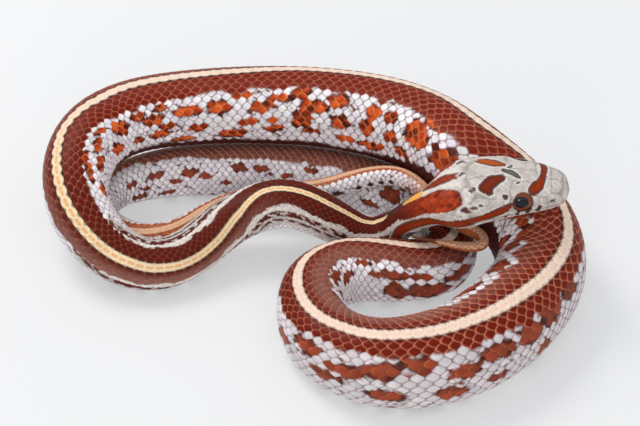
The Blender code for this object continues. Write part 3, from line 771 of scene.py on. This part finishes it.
def scaled_finish(name, roughness, bump):
    """Scales or skin: the pattern with its painted shade and highlights, fine dark flecks, a waxy
    gloss and a fine grain.
    """
    finish = Finish(name, {"Specular IOR Level": 0.09, "IOR": 1.5, "Metallic": 0.0,
                           "Subsurface Weight": 0.0})
    place = finish.node("ShaderNodeTexCoord", {}, {}, "Object")
    colour = finish.node("ShaderNodeAttribute", {"attribute_name": "markings_and_painted_light"}, {}, "Color")
    grain = finish.node("ShaderNodeTexNoise", {}, {"Vector": place, "Scale": 2600, "Detail": 3})
    clouds = finish.node("ShaderNodeTexNoise", {}, {"Vector": place, "Scale": 500, "Detail": 2})
    flecks = grain.risen(0.60, 0.72) * 0.35 + (1 - clouds.risen(0.3, 0.7)) * 0.10
    dark = finish.mixed(0.75, colour, (0.05, 0.03, 0.03, 1))
    finish.feed(base_color=finish.mixed(flecks, colour, dark))
    finish.feed(roughness=roughness + grain * 0.18)
    finish.feed(normal=finish.node("ShaderNodeBump", {}, {"Height": grain, "Strength": bump,
                                                          "Distance": 0.00004}))
    return finish.material


def add_piece(name, points, faces, colours, uvs, finish):
    """Make a joined mesh of many like faces, with its colours, painted shade and highlights included,
    and its unwrap.
    """
    data = bpy.data.meshes.new(name)
    data.vertices.add(len(points))
    data.vertices.foreach_set("co", points.astype(np.float32).ravel())
    corners = np.concatenate([np.ravel(block) for block in faces])
    counts = np.concatenate([np.full(len(block), block.shape[1]) for block in faces])
    data.loops.add(len(corners))
    data.loops.foreach_set("vertex_index", corners.astype(np.int32))
    data.polygons.add(len(counts))
    data.polygons.foreach_set("loop_start", np.concatenate([[0], np.cumsum(counts)[:-1]]))
    data.update(calc_edges=True)
    layer = data.uv_layers.new(name="OFBake")
    layer.uv.foreach_set("vector", uvs[corners].astype(np.float32).ravel())
    paint = data.color_attributes.new("markings_and_painted_light", "FLOAT_COLOR", "POINT")
    paint.data.foreach_set("color", np.column_stack([colours, np.ones(len(colours))]).ravel())
    data.shade_smooth()
    data.materials.append(finish)
    data.validate()
    piece = bpy.data.objects.new(name, data)
    bpy.context.scene.collection.objects.link(piece)
    return piece


SKIN_COLUMNS = 72
head_stops = np.linspace(0, math.sqrt(HEAD_END + SNOUT), 90) ** 2 - SNOUT + 0.002
body_stops = np.linspace(HEAD_END, LAST, 640)[1:]
stops = np.concatenate([head_stops, body_stops])
columns = np.linspace(-0.5, 0.5, SKIN_COLUMNS + 1)
close = np.concatenate([side * (LIP_TURN + np.array([-0.012, -0.006, 0.0, 0.006, 0.012]))
                        for side in (-1, 1)])
columns = np.sort(np.concatenate([columns, close]))

grid = bmesh.new()
bmesh.ops.create_grid(grid, x_segments=len(stops) - 1, y_segments=len(columns) - 1, size=0.5)
across_grid = np.array([vert.co[:2] for vert in grid.verts]) + 0.5
rows = np.rint(across_grid[:, 0] * (len(stops) - 1)).astype(int)
turns = np.rint(across_grid[:, 1] * (len(columns) - 1)).astype(int)
skin_place = stops[rows]
skin_turn = columns[turns]
skin_points = surface(skin_place, skin_turn, np.zeros(len(skin_place)))
tone = chance.uniform(-1, 1, len(skin_place))
_, seam_colour = markings_and_painted_light(skin_place, skin_turn, tone * 0.3)
none = np.zeros(len(skin_place))
seam_colour = striped(seam_colour, skin_place, skin_turn, none, none)
seam_colour = head_marked(seam_colour, skin_place, skin_turn)
layer = grid.loops.layers.uv.new("OFBake")
paint = grid.verts.layers.float_color.new("markings_and_painted_light")
grid.verts.index_update()
for face in grid.faces:
    corner_rows = [rows[loop.vert.index] for loop in face.loops]
    strip = min(int(max(stops[min(corner_rows)], 0) / STRIP), STRIPS - 1)
    for loop, row in zip(face.loops, corner_rows):
        k = loop.vert.index
        loop[layer].uv = (0.01 + 0.98 * (skin_place[k] - strip * STRIP) / STRIP,
                          (strip + 0.5) / STRIPS + skin_turn[k] * STRIP_HEIGHT)
for vert, point, shade in zip(grid.verts, skin_points, seam_colour * 0.8):
    vert.co = point
    vert[paint] = (*shade, 1)
bmesh.ops.remove_doubles(grid, verts=grid.verts, dist=0.000004)
bmesh.ops.holes_fill(grid, edges=grid.edges)
bmesh.ops.recalc_face_normals(grid, faces=grid.faces)
skin_data = bpy.data.meshes.new("skin")
grid.to_mesh(skin_data)
grid.free()
skin_data.shade_smooth()
skin_data.materials.append(scaled_finish("skin_between_scales", 0.55, 0.3))
skin = bpy.data.objects.new("skin", skin_data)
bpy.context.scene.collection.objects.link(skin)
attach(skin, "root")
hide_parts(*[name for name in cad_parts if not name.startswith("eye")])

# Coat of scales. Small smooth scales in slanting rows cover the back and the sides, each a low
# dome whose front is sunk in the skin and whose tip lies over the next one behind it.
SCALE_LENGTH = 0.62
SCALE_HALF_WIDTH = 0.92
SCALE_POINTED = 1.42
PITCH = [(0, 0.8), (17, 0.8), (24, 0.85), (34, 1.0), (54, 1.2), (90, 1.4), (120, 1.8),
         (200, 1.85), (250, 1.75), (300, 1.45), (380, 1.3), (430, 1.2), (473, 0.9)]
FLANK_TURN = 0.362
COAT_LENGTHS = [("coat_neck", 9.0, 92.0, 42), ("coat_torso_1", 92.0, 150.0, 42),
                ("coat_torso_2", 150.0, 208.0, 42), ("coat_torso_3", 208.0, 270.0, 42),
                ("coat_torso_4", 270.0, 366.0, 36), ("coat_tail_1", 366.0, 400.0, 24),
                ("coat_tail_2", 400.0, 424.0, 18), ("coat_tail_3", 424.0, 446.0, 16),
                ("coat_tail_4", 446.0, 470.0, 14)]
SCALE_RINGS = [(0.60, 0.070), (0.86, 0.042), (1.0, -0.08)]
SCALE_MIDDLE = 0.085
SCALE_SIDES = 12
SCALE_TILT = 0.07
FINE_TO = 92.0
MARKED_WITHIN = 0.5


def one_scale():
    """A single scale as a round plate of rings: its points in a unit circle and its faces."""
    plate = bmesh.new()
    bmesh.ops.create_circle(plate, cap_ends=False, segments=SCALE_SIDES,
                            radius=SCALE_RINGS[0][0])
    rim = plate.edges[:]
    for (inner, _), (outer, _) in zip(SCALE_RINGS, SCALE_RINGS[1:]):
        grown = bmesh.ops.extrude_edge_only(plate, edges=rim)["geom"]
        ring = [item for item in grown if isinstance(item, bmesh.types.BMVert)]
        rim = [item for item in grown if isinstance(item, bmesh.types.BMEdge)]
        bmesh.ops.scale(plate, verts=ring, vec=(outer / inner, outer / inner, 1))
    bmesh.ops.holes_fill(plate, edges=plate.edges)
    bmesh.ops.poke(plate, faces=[min((face for face in plate.faces if len(face.verts) == SCALE_SIDES),
                                     key=lambda face: face.calc_area())])
    bmesh.ops.recalc_face_normals(plate, faces=plate.faces)
    plate.verts.index_update()
    points = np.array([vert.co[:2] for vert in plate.verts])
    faces = {}
    for face in plate.faces:
        faces.setdefault(len(face.verts), []).append([vert.index for vert in face.verts])
    plate.free()
    return points, [np.array(block) for block in faces.values()]


DISC, DISC_FACES = one_scale()
RING = np.hypot(*DISC.T)
ANGLE = np.arctan2(DISC[:, 1], DISC[:, 0])
OUTLINE = (np.abs(np.cos(ANGLE)) ** SCALE_POINTED + np.abs(np.sin(ANGLE)) ** SCALE_POINTED)
OUTLINE = OUTLINE ** (-1 / SCALE_POINTED)
SCALE_X = RING * OUTLINE * np.cos(ANGLE)
SCALE_Y = RING * OUTLINE * np.sin(ANGLE)
SCALE_Z = np.interp(RING, *zip((0.0, SCALE_MIDDLE), *SCALE_RINGS)) + SCALE_TILT * SCALE_X


def coat(name, place, turn, length, row, finish):
    """Set one scale at every place and join them in one piece."""
    count = len(place)
    many = len(SCALE_X)
    all_place = (place[:, None] + SCALE_X * SCALE_LENGTH * length[:, None]).ravel()
    all_turn = (turn[:, None] + SCALE_Y * SCALE_HALF_WIDTH * row[:, None]).ravel()
    all_turn = all_turn - read(ROLL, all_place) / 360
    thick = (row * girth_at(place))[:, None] * SCALE_Z
    points = surface(all_place, all_turn, thick.ravel())
    laid = turn - read(ROLL, place) / 360
    own = np.repeat(np.where(place < FINE_TO, 1.0, MARKED_WITHIN), many)
    seen_place = own * all_place + (1 - own) * np.repeat(place, many)
    seen_turn = own * all_turn + (1 - own) * np.repeat(laid, many)
    tones = np.repeat(chance.uniform(-1, 1, count), many)
    middle, edge = markings_and_painted_light(seen_place, seen_turn, tones)
    inward = np.tile(step_up(RING, 0.83, 0.3), count)
    # painted highlight and shade: each scale's edge is lighter toward its rear tip and darker toward
    # its front
    colours = blend(middle, edge * np.tile(1 + 0.4 * SCALE_X, count)[:, None], inward)
    heart = np.tile((RING < 0.7).astype(float), count) * np.repeat(np.abs(turn) < 0.3 * row, many)
    rank = np.rint(turn / row).astype(int)
    swell = np.cos(2 * math.pi * SCALE_LENGTH * SCALE_X) * (1 - 2 * (rank % 2))[:, None]
    colours = colours * (1 + 0.07 * chance.uniform(-1, 1, len(colours)))[:, None]
    # painted highlight and shade: the whole scale is lighter toward its rear tip and darker toward
    # its front
    colours = colours * np.tile(1 + 0.14 * SCALE_X, count)[:, None]
    colours = striped(colours, all_place, all_turn, heart, swell.ravel())
    colours = head_marked(colours, all_place, all_turn)
    strip = np.clip((place / STRIP).astype(int), 0, STRIPS - 1)
    roots = unwrap(place, (laid + 0.5) % 1 - 0.5, strip)
    patch = 0.0015 * np.column_stack([SCALE_X, SCALE_Y])
    uvs = (roots[:, None, :] + patch[None, :, :]).reshape(-1, 2)
    shift = (np.arange(count) * many)[:, None, None]
    faces = [(block[None] + shift).reshape(-1, block.shape[1]) for block in DISC_FACES]
    piece = add_piece(name, points, faces, colours, uvs, finish)
    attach(piece, "root")
    return piece


def lattice(start, end, count):
    """Places and turns of scales in slanting rows round the whole body between two distances."""
    places = [start]
    while places[-1] < end:
        places.append(places[-1] + float(read(PITCH, places[-1])))
    places = np.array(places[:-1])
    ranks = np.arange(count) - count // 2
    place, turn = [table.ravel() for table in np.meshgrid(places, ranks / count, indexing="ij")]
    place = place + np.tile(ranks % 2, len(places)) * 0.5 * read(PITCH, place)
    return place, turn, read(PITCH, place), np.full(len(place), 1 / count)


coat_finish = scaled_finish("smooth_scales", 0.29, 0.10)
for name, start, end, count in COAT_LENGTHS:
    place, turn, length, row = lattice(start, end, count)
    laid = np.abs((turn - read(ROLL, place) / 360 + 0.5) % 1 - 0.5)
    first = np.interp(laid, (0.0, 0.1, 0.12, 0.2, 0.215, 0.27, 0.31, 0.32),
                      (16.9, 16.3, 16.9, 16.9, 17.9, 17.9, 17.0, 9.0))
    kept = (place > first) & (place < min(end + 1, LAST - 1)) & (laid < FLANK_TURN)
    coat(name, place[kept], turn[kept], length[kept], row[kept], coat_finish)

# Belly plates. One broad plate lies right across the belly for each pair of ribs, and behind
# the vent they go in pairs. Each is a thin bent sheet of horn that overlaps the next.
PLATE_FIRST = 19.0
VENT = 371.0
PLATE_TURN = 0.142
CHECK_DARK = linear(74, 48, 46)


def belly_plates(name, start, end, parts):
    """Broad plates across the belly between two distances, whole or in pairs."""
    sheet = bmesh.new()
    bmesh.ops.create_grid(sheet, x_segments=3, y_segments=12 // parts, size=1.0)
    border = [edge for edge in sheet.edges if edge.is_boundary]
    grown = bmesh.ops.extrude_edge_only(sheet, edges=border)
    skirt = {item for item in grown["geom"] if isinstance(item, bmesh.types.BMVert)}
    bmesh.ops.holes_fill(sheet, edges=[edge for edge in sheet.edges if edge.is_boundary])
    bmesh.ops.recalc_face_normals(sheet, faces=sheet.faces)
    sheet.verts.index_update()
    x = np.array([vert.co.x for vert in sheet.verts])
    y = np.array([vert.co.y for vert in sheet.verts])
    sunk = np.array([vert in skirt for vert in sheet.verts])
    blocks = {}
    for face in sheet.faces:
        blocks.setdefault(len(face.verts), []).append([vert.index for vert in face.verts])
    sheet.free()
    places = [start]
    while places[-1] < end:
        places.append(places[-1] + float(read(PITCH, places[-1])))
    place = np.repeat(np.array(places[:-1]), parts)
    middle_turn = 0.5 + np.tile((np.arange(parts) - (parts - 1) / 2) * 2 * PLATE_TURN / parts,
                                len(places) - 1)
    length = read(PITCH, place)
    height = np.where(sunk, -0.12, 0.035 + 0.035 * x - 0.03 * np.abs(y) ** 6)
    size = np.clip(np.interp(place, PLACES, WIDTH) / 8, 0.3, 1.3)
    out = (size[:, None] * height).ravel()
    all_place = (place[:, None] + (x * 0.58 - 0.1 * np.abs(y) ** 4) * length[:, None]).ravel()
    all_turn = (middle_turn[:, None] + y * PLATE_TURN / parts).ravel()
    tones = chance.uniform(-1, 1, len(place))
    shade = (1 + 0.05 * tones)[:, None, None] * (BELLY_WHITE[None, None, :])
    shade = (shade * (0.92 + 0.08 * np.where(sunk, 0, 1))[None, :, None]).reshape(-1, 3)
    check = step_up(ripple(np.repeat(place, len(x)), np.tile(np.sign(y) * 7, len(place)), 5.5),
                    0.1, 0.3) * np.tile(step_up(np.abs(y), 0.35, 0.2), len(place))
    colours = blend(shade, CHECK_DARK, 0.85 * check)
    # painted shade: from 98 to 219 the plates are darkened to maroon on the half toward the near
    # flank, where the coil above and the head shade them
    painted_shade = step_up(all_place, 98, 8) * (1 - step_up(all_place, 219, 6))
    colours = blend(colours, PAINTED_SHADE_MAROON, painted_shade * np.tile(step_up(-y, 0.2, 0.3), len(place)))
    colours = np.clip(colours, 0, 1)
    strip = np.clip((place / STRIP).astype(int), 0, STRIPS - 1)
    roots = unwrap(place, (middle_turn + 0.5) % 1 - 0.5, strip)
    patch = 0.0015 * np.column_stack([x, y])
    uvs = (roots[:, None, :] + patch[None, :, :]).reshape(-1, 2)
    points = surface(all_place, all_turn, out)
    shift = (np.arange(len(place)) * len(x))[:, None, None]
    faces = [(np.array(block)[None] + shift).reshape(-1, len(block[0]))
             for block in blocks.values()]
    piece = add_piece(name, points, faces, colours, uvs, belly_finish)
    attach(piece, "root")


belly_finish = scaled_finish("belly_plates", 0.65, 0.08)
belly_plates("belly_plates", PLATE_FIRST, VENT, 1)
belly_plates("tail_plates", VENT + 1.2, LAST - 1, 2)

# Head shields. The crown, cheeks, lips and chin carry large plates that meet at fine seams.
# Each is laid out by its corners, rounded, swelled and laid over the head.
CROWN_SHIELDS = {
    "frontal": [(5.5, -0.28), (9.6, -0.24), (11.2, 0.0), (9.6, 0.24), (5.5, 0.28), (5.2, 0.0)]}
CROWN_PAIRS = {
    "internasal": [(1.3, 0.0), (0.9, 0.45), (1.9, 0.72), (2.9, 0.66), (3.0, 0.0)],
    "prefrontal": [(3.0, 0.0), (2.9, 0.66), (3.7, 0.8), (5.0, 0.8), (5.6, 0.6), (5.5, 0.28),
                   (5.2, 0.0)],
    "supraocular": [(5.5, 0.28), (5.6, 0.6), (6.4, 0.86), (9.6, 0.88), (10.3, 0.6), (9.6, 0.24)],
    "parietal": [(11.2, 0.0), (9.6, 0.24), (10.3, 0.6), (11.0, 0.78), (14.0, 0.72),
                 (16.2, 0.42), (16.8, 0.0)]}
SIDE_PAIRS = {
    "rostral": [(0.1, 0.0), (0.9, 0.0), (0.9, 0.1), (1.2, 0.17), (1.0, 0.255), (0.2, 0.255)],
    "nasal": [(1.2, 0.17), (1.9, 0.14), (3.5, 0.135), (3.7, 0.17), (3.6, 0.212), (1.1, 0.222)],
    "loreal": [(3.5, 0.135), (3.8, 0.16), (5.0, 0.155), (5.1, 0.205), (3.6, 0.212), (3.7, 0.17)],
    "preocular": [(5.0, 0.155), (5.9, 0.135), (6.3, 0.17), (6.1, 0.215), (5.1, 0.205)],
    "postocular_upper": [(10.3, 0.135), (11.6, 0.145), (11.7, 0.18), (10.5, 0.182)],
    "postocular_lower": [(10.5, 0.182), (11.7, 0.18), (11.6, 0.215), (10.3, 0.225)],
    "temporal_upper": [(11.6, 0.145), (14.2, 0.135), (14.4, 0.178), (11.7, 0.18)],
    "temporal_lower": [(11.7, 0.18), (14.4, 0.178), (14.2, 0.212), (11.6, 0.215)],
    "temporal_rear_1": [(14.2, 0.135), (16.0, 0.115), (17.0, 0.14), (16.6, 0.165), (14.3, 0.165)],
    "temporal_rear_2": [(14.3, 0.165), (16.6, 0.165), (17.0, 0.19), (16.4, 0.212), (14.2, 0.212)]}
LIP_ENDS = [1.0, 2.3, 3.6, 5.1, 6.9, 9.3, 11.4, 13.6, 15.7, 17.7]
LIP_TOPS = [0.222, 0.216, 0.212, 0.207, 0.243, 0.243, 0.215, 0.213, 0.213, 0.216]
CHIN_ENDS = [0.9, 2.2, 3.6, 5.2, 7.0, 9.2, 11.5, 13.6, 15.6, 17.6]
CHIN_LOWER = [0.33, 0.325, 0.32, 0.315, 0.312, 0.31, 0.31, 0.31, 0.31, 0.31]
UNDER_PAIRS = {
    "mental": [(0.25, 0.275), (0.9, 0.275), (0.9, 0.33), (1.5, 0.5), (0.5, 0.5)],
    "chin_front": [(1.7, 0.495), (1.1, 0.36), (2.2, 0.33), (5.0, 0.33), (5.6, 0.42), (5.4, 0.495)],
    "chin_rear": [(5.6, 0.495), (5.8, 0.42), (5.3, 0.33), (8.6, 0.33), (10.0, 0.44), (9.8, 0.495)]}
SHIELD_SWELL = 0.07
SHIELD_SEAM = 0.038
SHIELD_SHOULDER = 0.12
SHIELD_ROOT = 0.16
SHIELD_CUTS = 6
SHIELD_GRAIN = 0.17


def crown_turn(share):
    """Turn of a point on the crown that lies at a share of the half width."""
    return math.copysign(LIP_TURN * float(np.interp(abs(share), CROWN[1], CROWN[0])), share)


def shields(name, outlines, finish):
    """Lay out closed outlines of distance and turn, swell each one and join them."""
    sheet = bmesh.new()
    for corners in outlines:
        corners = np.array(corners)
        middle = corners.mean(axis=0)
        round_here = float(girth_at(middle[:1])[0])
        flat = corners * (1, round_here)
        centre = flat.mean(axis=0)
        reach = np.linalg.norm(flat - centre, axis=1)[:, None]
        flat = centre + (flat - centre) * np.clip(1 - SHIELD_SEAM / reach, 0.1, 1)
        piece = bmesh.new()
        rim = [piece.verts.new((x, y, 0)) for x, y in flat]
        piece.faces.new(rim)
        size = float(np.linalg.norm(np.diff(np.vstack([flat, flat[:1]]), axis=0), axis=1).min())
        bmesh.ops.bevel(piece, geom=piece.verts[:], offset=min(0.2, size * 0.3), segments=2,
                        profile=0.5, affect="VERTICES", material=-1)
        bmesh.ops.poke(piece, faces=piece.faces[:])
        for _ in range(SHIELD_CUTS):
            long = [edge for edge in piece.edges if edge.calc_length() > SHIELD_GRAIN]
            bmesh.ops.subdivide_edges(piece, edges=long, cuts=1, use_grid_fill=True)
            bmesh.ops.triangulate(piece, faces=piece.faces[:])
        outline = np.array([vert.co[:2] for vert in piece.verts if vert.is_boundary])
        for vert in piece.verts:
            gap = float(np.hypot(*(outline - vert.co[:2]).T).min())
            vert.co.z = SHIELD_SWELL * (1 - math.exp(-gap / SHIELD_SHOULDER)) - 0.02
            vert.co.y /= round_here
        border = [edge for edge in piece.edges if edge.is_boundary]
        skirt = bmesh.ops.extrude_edge_only(piece, edges=border)["geom"]
        for item in skirt:
            if isinstance(item, bmesh.types.BMVert):
                item.co.z = -SHIELD_ROOT
        bmesh.ops.holes_fill(piece, edges=[edge for edge in piece.edges if edge.is_boundary])
        bmesh.ops.recalc_face_normals(piece, faces=piece.faces[:])
        part = bpy.data.meshes.new("part")
        piece.to_mesh(part)
        piece.free()
        sheet.from_mesh(part)
        bpy.data.meshes.remove(part)
    laid = np.array([vert.co[:] for vert in sheet.verts])
    place = np.maximum(laid[:, 0], -0.1)
    points = surface(place, laid[:, 1], laid[:, 2])
    middle, _ = markings_and_painted_light(place, laid[:, 1], np.zeros(len(place)))
    dark = np.where(laid[:, 2] < 0.01, 0.9, 1.0)[:, None]
    middle = head_marked(middle * dark, place, laid[:, 1])
    flat_places = unwrap(place, laid[:, 1], 0)
    paint = sheet.verts.layers.float_color.new("markings_and_painted_light")
    unwrapped = sheet.loops.layers.uv.new("OFBake")
    for vert, point, colour in zip(sheet.verts, points, middle):
        vert.co = point
        vert[paint] = (*colour, 1)
    sheet.verts.index_update()
    for face in sheet.faces:
        for loop in face.loops:
            loop[unwrapped].uv = flat_places[loop.vert.index]
    data = bpy.data.meshes.new(name)
    sheet.to_mesh(data)
    sheet.free()
    data.shade_smooth()
    data.materials.append(finish)
    piece = bpy.data.objects.new(name, data)
    bpy.context.scene.collection.objects.link(piece)
    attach(piece, "root")


head_finish = scaled_finish("head_shields", 0.34, 0.10)
crown = [[(back, crown_turn(share)) for back, share in corners]
         for corners in CROWN_SHIELDS.values()]
for corners in CROWN_PAIRS.values():
    crown += [[(back, side * crown_turn(share)) for back, share in corners] for side in (1, -1)]
cheeks = []
for corners in SIDE_PAIRS.values():
    cheeks += [[(back, side * turn) for back, turn in corners] for side in (1, -1)]
for side in (1, -1):
    for k in range(len(LIP_ENDS) - 1):
        cheeks.append([(LIP_ENDS[k], side * LIP_TOPS[k]), (LIP_ENDS[k + 1], side * LIP_TOPS[k + 1]),
                       (LIP_ENDS[k + 1], side * (LIP_TURN - 0.004)),
                       (LIP_ENDS[k], side * (LIP_TURN - 0.004))])
jaws = []
for corners in UNDER_PAIRS.values():
    jaws += [[(back, side * turn) for back, turn in corners] for side in (1, -1)]
for side in (1, -1):
    for k in range(len(CHIN_ENDS) - 1):
        jaws.append([(CHIN_ENDS[k], side * (LIP_TURN + 0.005)),
                     (CHIN_ENDS[k + 1], side * (LIP_TURN + 0.005)),
                     (CHIN_ENDS[k + 1], side * CHIN_LOWER[k + 1]),
                     (CHIN_ENDS[k], side * CHIN_LOWER[k])])
shields("crown_shields", crown, head_finish)
shields("cheek_shields", cheeks, head_finish)
shields("jaw_shields", jaws, head_finish)

# Eyes. Each is a low glossy dome under one clear scale, with a round black pupil and a rusty
# iris that darkens to its rim. They stand in the sockets, the far one deeper than the near one.
PUPIL = 0.52
IRIS = 0.93
PUPIL_RISE = 0.24
EYE_SETBACK = {"left": 0.55, "right": 0.2}

for label, (place, outward, rearward, downward) in EYES.items():
    globe = bmesh.new()
    bmesh.ops.create_uvsphere(globe, u_segments=48, v_segments=32, radius=1.0)
    layer = globe.loops.layers.uv.new("across_eye")
    for face in globe.faces:
        for loop in face.loops:
            loop[layer].uv = (loop.vert.co.x * 0.5 + 0.5, loop.vert.co.y * 0.5 + 0.5)
    place = place - outward * EYE_SETBACK[label]
    axes = Matrix((rearward * EYE_RADII[1] * MM, downward * EYE_RADII[2] * MM,
                   outward * EYE_RADII[0] * MM)).transposed()
    bmesh.ops.transform(globe, matrix=Matrix.Translation(place * MM) @ axes.to_4x4(),
                        verts=globe.verts)
    bmesh.ops.recalc_face_normals(globe, faces=globe.faces)
    eye_data = bpy.data.meshes.new("eye_dome_" + label)
    globe.to_mesh(eye_data)
    globe.free()
    eye_data.shade_smooth()
    eye = bpy.data.objects.new("eye_dome_" + label, eye_data)
    bpy.context.scene.collection.objects.link(eye)
    finish = Finish("eye_" + label, {"Roughness": 0.04, "Specular IOR Level": 0.3})
    where = finish.node("ShaderNodeUVMap", {"uv_map": "across_eye"}, {})
    parted = finish.node("ShaderNodeSeparateXYZ", {}, {"Vector": where})
    along = (parted - 0.5) * 2
    down = (Field(finish, parted.socket.node.outputs["Y"]) - 0.5) * 2 + PUPIL_RISE
    reach = (along * along + down * down) ** 0.5
    threads = finish.node("ShaderNodeTexNoise", {}, {"Vector": where, "Scale": 30, "Detail": 3})
    rust = finish.mixed(threads.risen(0.35, 0.7), (0.10, 0.022, 0.008, 1), (0.26, 0.075, 0.02, 1))
    iris = finish.mixed(reach.risen(PUPIL - 0.03, PUPIL + 0.05), (0.004, 0.006, 0.012, 1), rust)
    finish.feed(base_color=finish.mixed(reach.risen(IRIS - 0.16, IRIS), iris,
                                        (0.012, 0.006, 0.005, 1)))
    eye_data.materials.append(finish.material)
    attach(eye, "root")
    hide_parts("eye_" + label)

# Studio. A plain pale floor, a broad soft light from the upper left behind, a fill, a small
# lamp for the glint in the near eye, and a camera that looks down on the coils from the front.
floor_data = bpy.data.meshes.new("floor")
sheet = bmesh.new()
bmesh.ops.create_grid(sheet, x_segments=1, y_segments=1, size=3.0)
sheet.to_mesh(floor_data)
sheet.free()
floor = bpy.data.objects.new("floor", floor_data)
bpy.context.scene.collection.objects.link(floor)
floor.data.transform(Matrix.Translation((0, 0, -0.00005)))
pale = Finish("pale_floor", {"Base Color": (0.46, 0.46, 0.46, 1), "Roughness": 0.7,
                             "Emission Color": (0.98, 0.99, 1.0, 1), "Emission Strength": 0.36})
floor_data.materials.append(pale.material)

world = bpy.data.worlds.new("studio")
world.use_nodes = True
world.node_tree.nodes["Background"].inputs["Color"].default_value = (0.93, 0.96, 1.0, 1)
world.node_tree.nodes["Background"].inputs["Strength"].default_value = 0.74
bpy.context.scene.world = world


def soft_light(name, place, aim, size, power, colour):
    """A square soft box hung at a place and aimed at a point."""
    lamp = bpy.data.lights.new(name, "AREA")
    lamp.size = size
    lamp.energy = power
    lamp.color = colour
    box = bpy.data.objects.new(name, lamp)
    bpy.context.scene.collection.objects.link(box)
    box.location = place
    box.rotation_euler = (Vector(aim) - Vector(place)).to_track_quat("-Z", "Y").to_euler()


soft_light("key", (-0.22, 0.20, 0.42), (0, 0, 0.01), 0.2, 1.15, (1.0, 0.98, 0.95))
CAMERA_PLACE = (0.0015, -0.3040, 0.2877)
CAMERA_AIM = (0.0015, 0.0156, 0.0)
CAMERA_LENS = 135.9
# the glint hangs where the near eye mirrors it to the camera
near_eye, outward, rearward, downward = [Vector(part) for part in EYES["right"]]
facing = (outward - 0.42 * downward + 0.12 * rearward).normalized()
seen_from = (Vector(CAMERA_PLACE) - near_eye * MM).normalized()
lit_from = 2 * facing.dot(seen_from) * facing - seen_from
soft_light("glint", near_eye * MM + 0.3 * lit_from, near_eye * MM, 0.06, 0.12, (1.0, 1.0, 1.0))
soft_light("fill", (0.15, -0.45, 0.45), (0, 0, 0.01), 0.5, 0.35, (0.97, 0.98, 1.0))

lens = bpy.data.cameras.new("camera")
lens.lens = CAMERA_LENS
lens.sensor_width = 36.0
lens.clip_start = 0.01
camera = bpy.data.objects.new("camera", lens)
bpy.context.scene.collection.objects.link(camera)
camera.location = CAMERA_PLACE
aimed = Vector(CAMERA_AIM) - Vector(CAMERA_PLACE)
camera.rotation_euler = aimed.to_track_quat("-Z", "Y").to_euler()
bpy.context.scene.camera = camera
bpy.context.scene.view_settings.view_transform = "Standard"
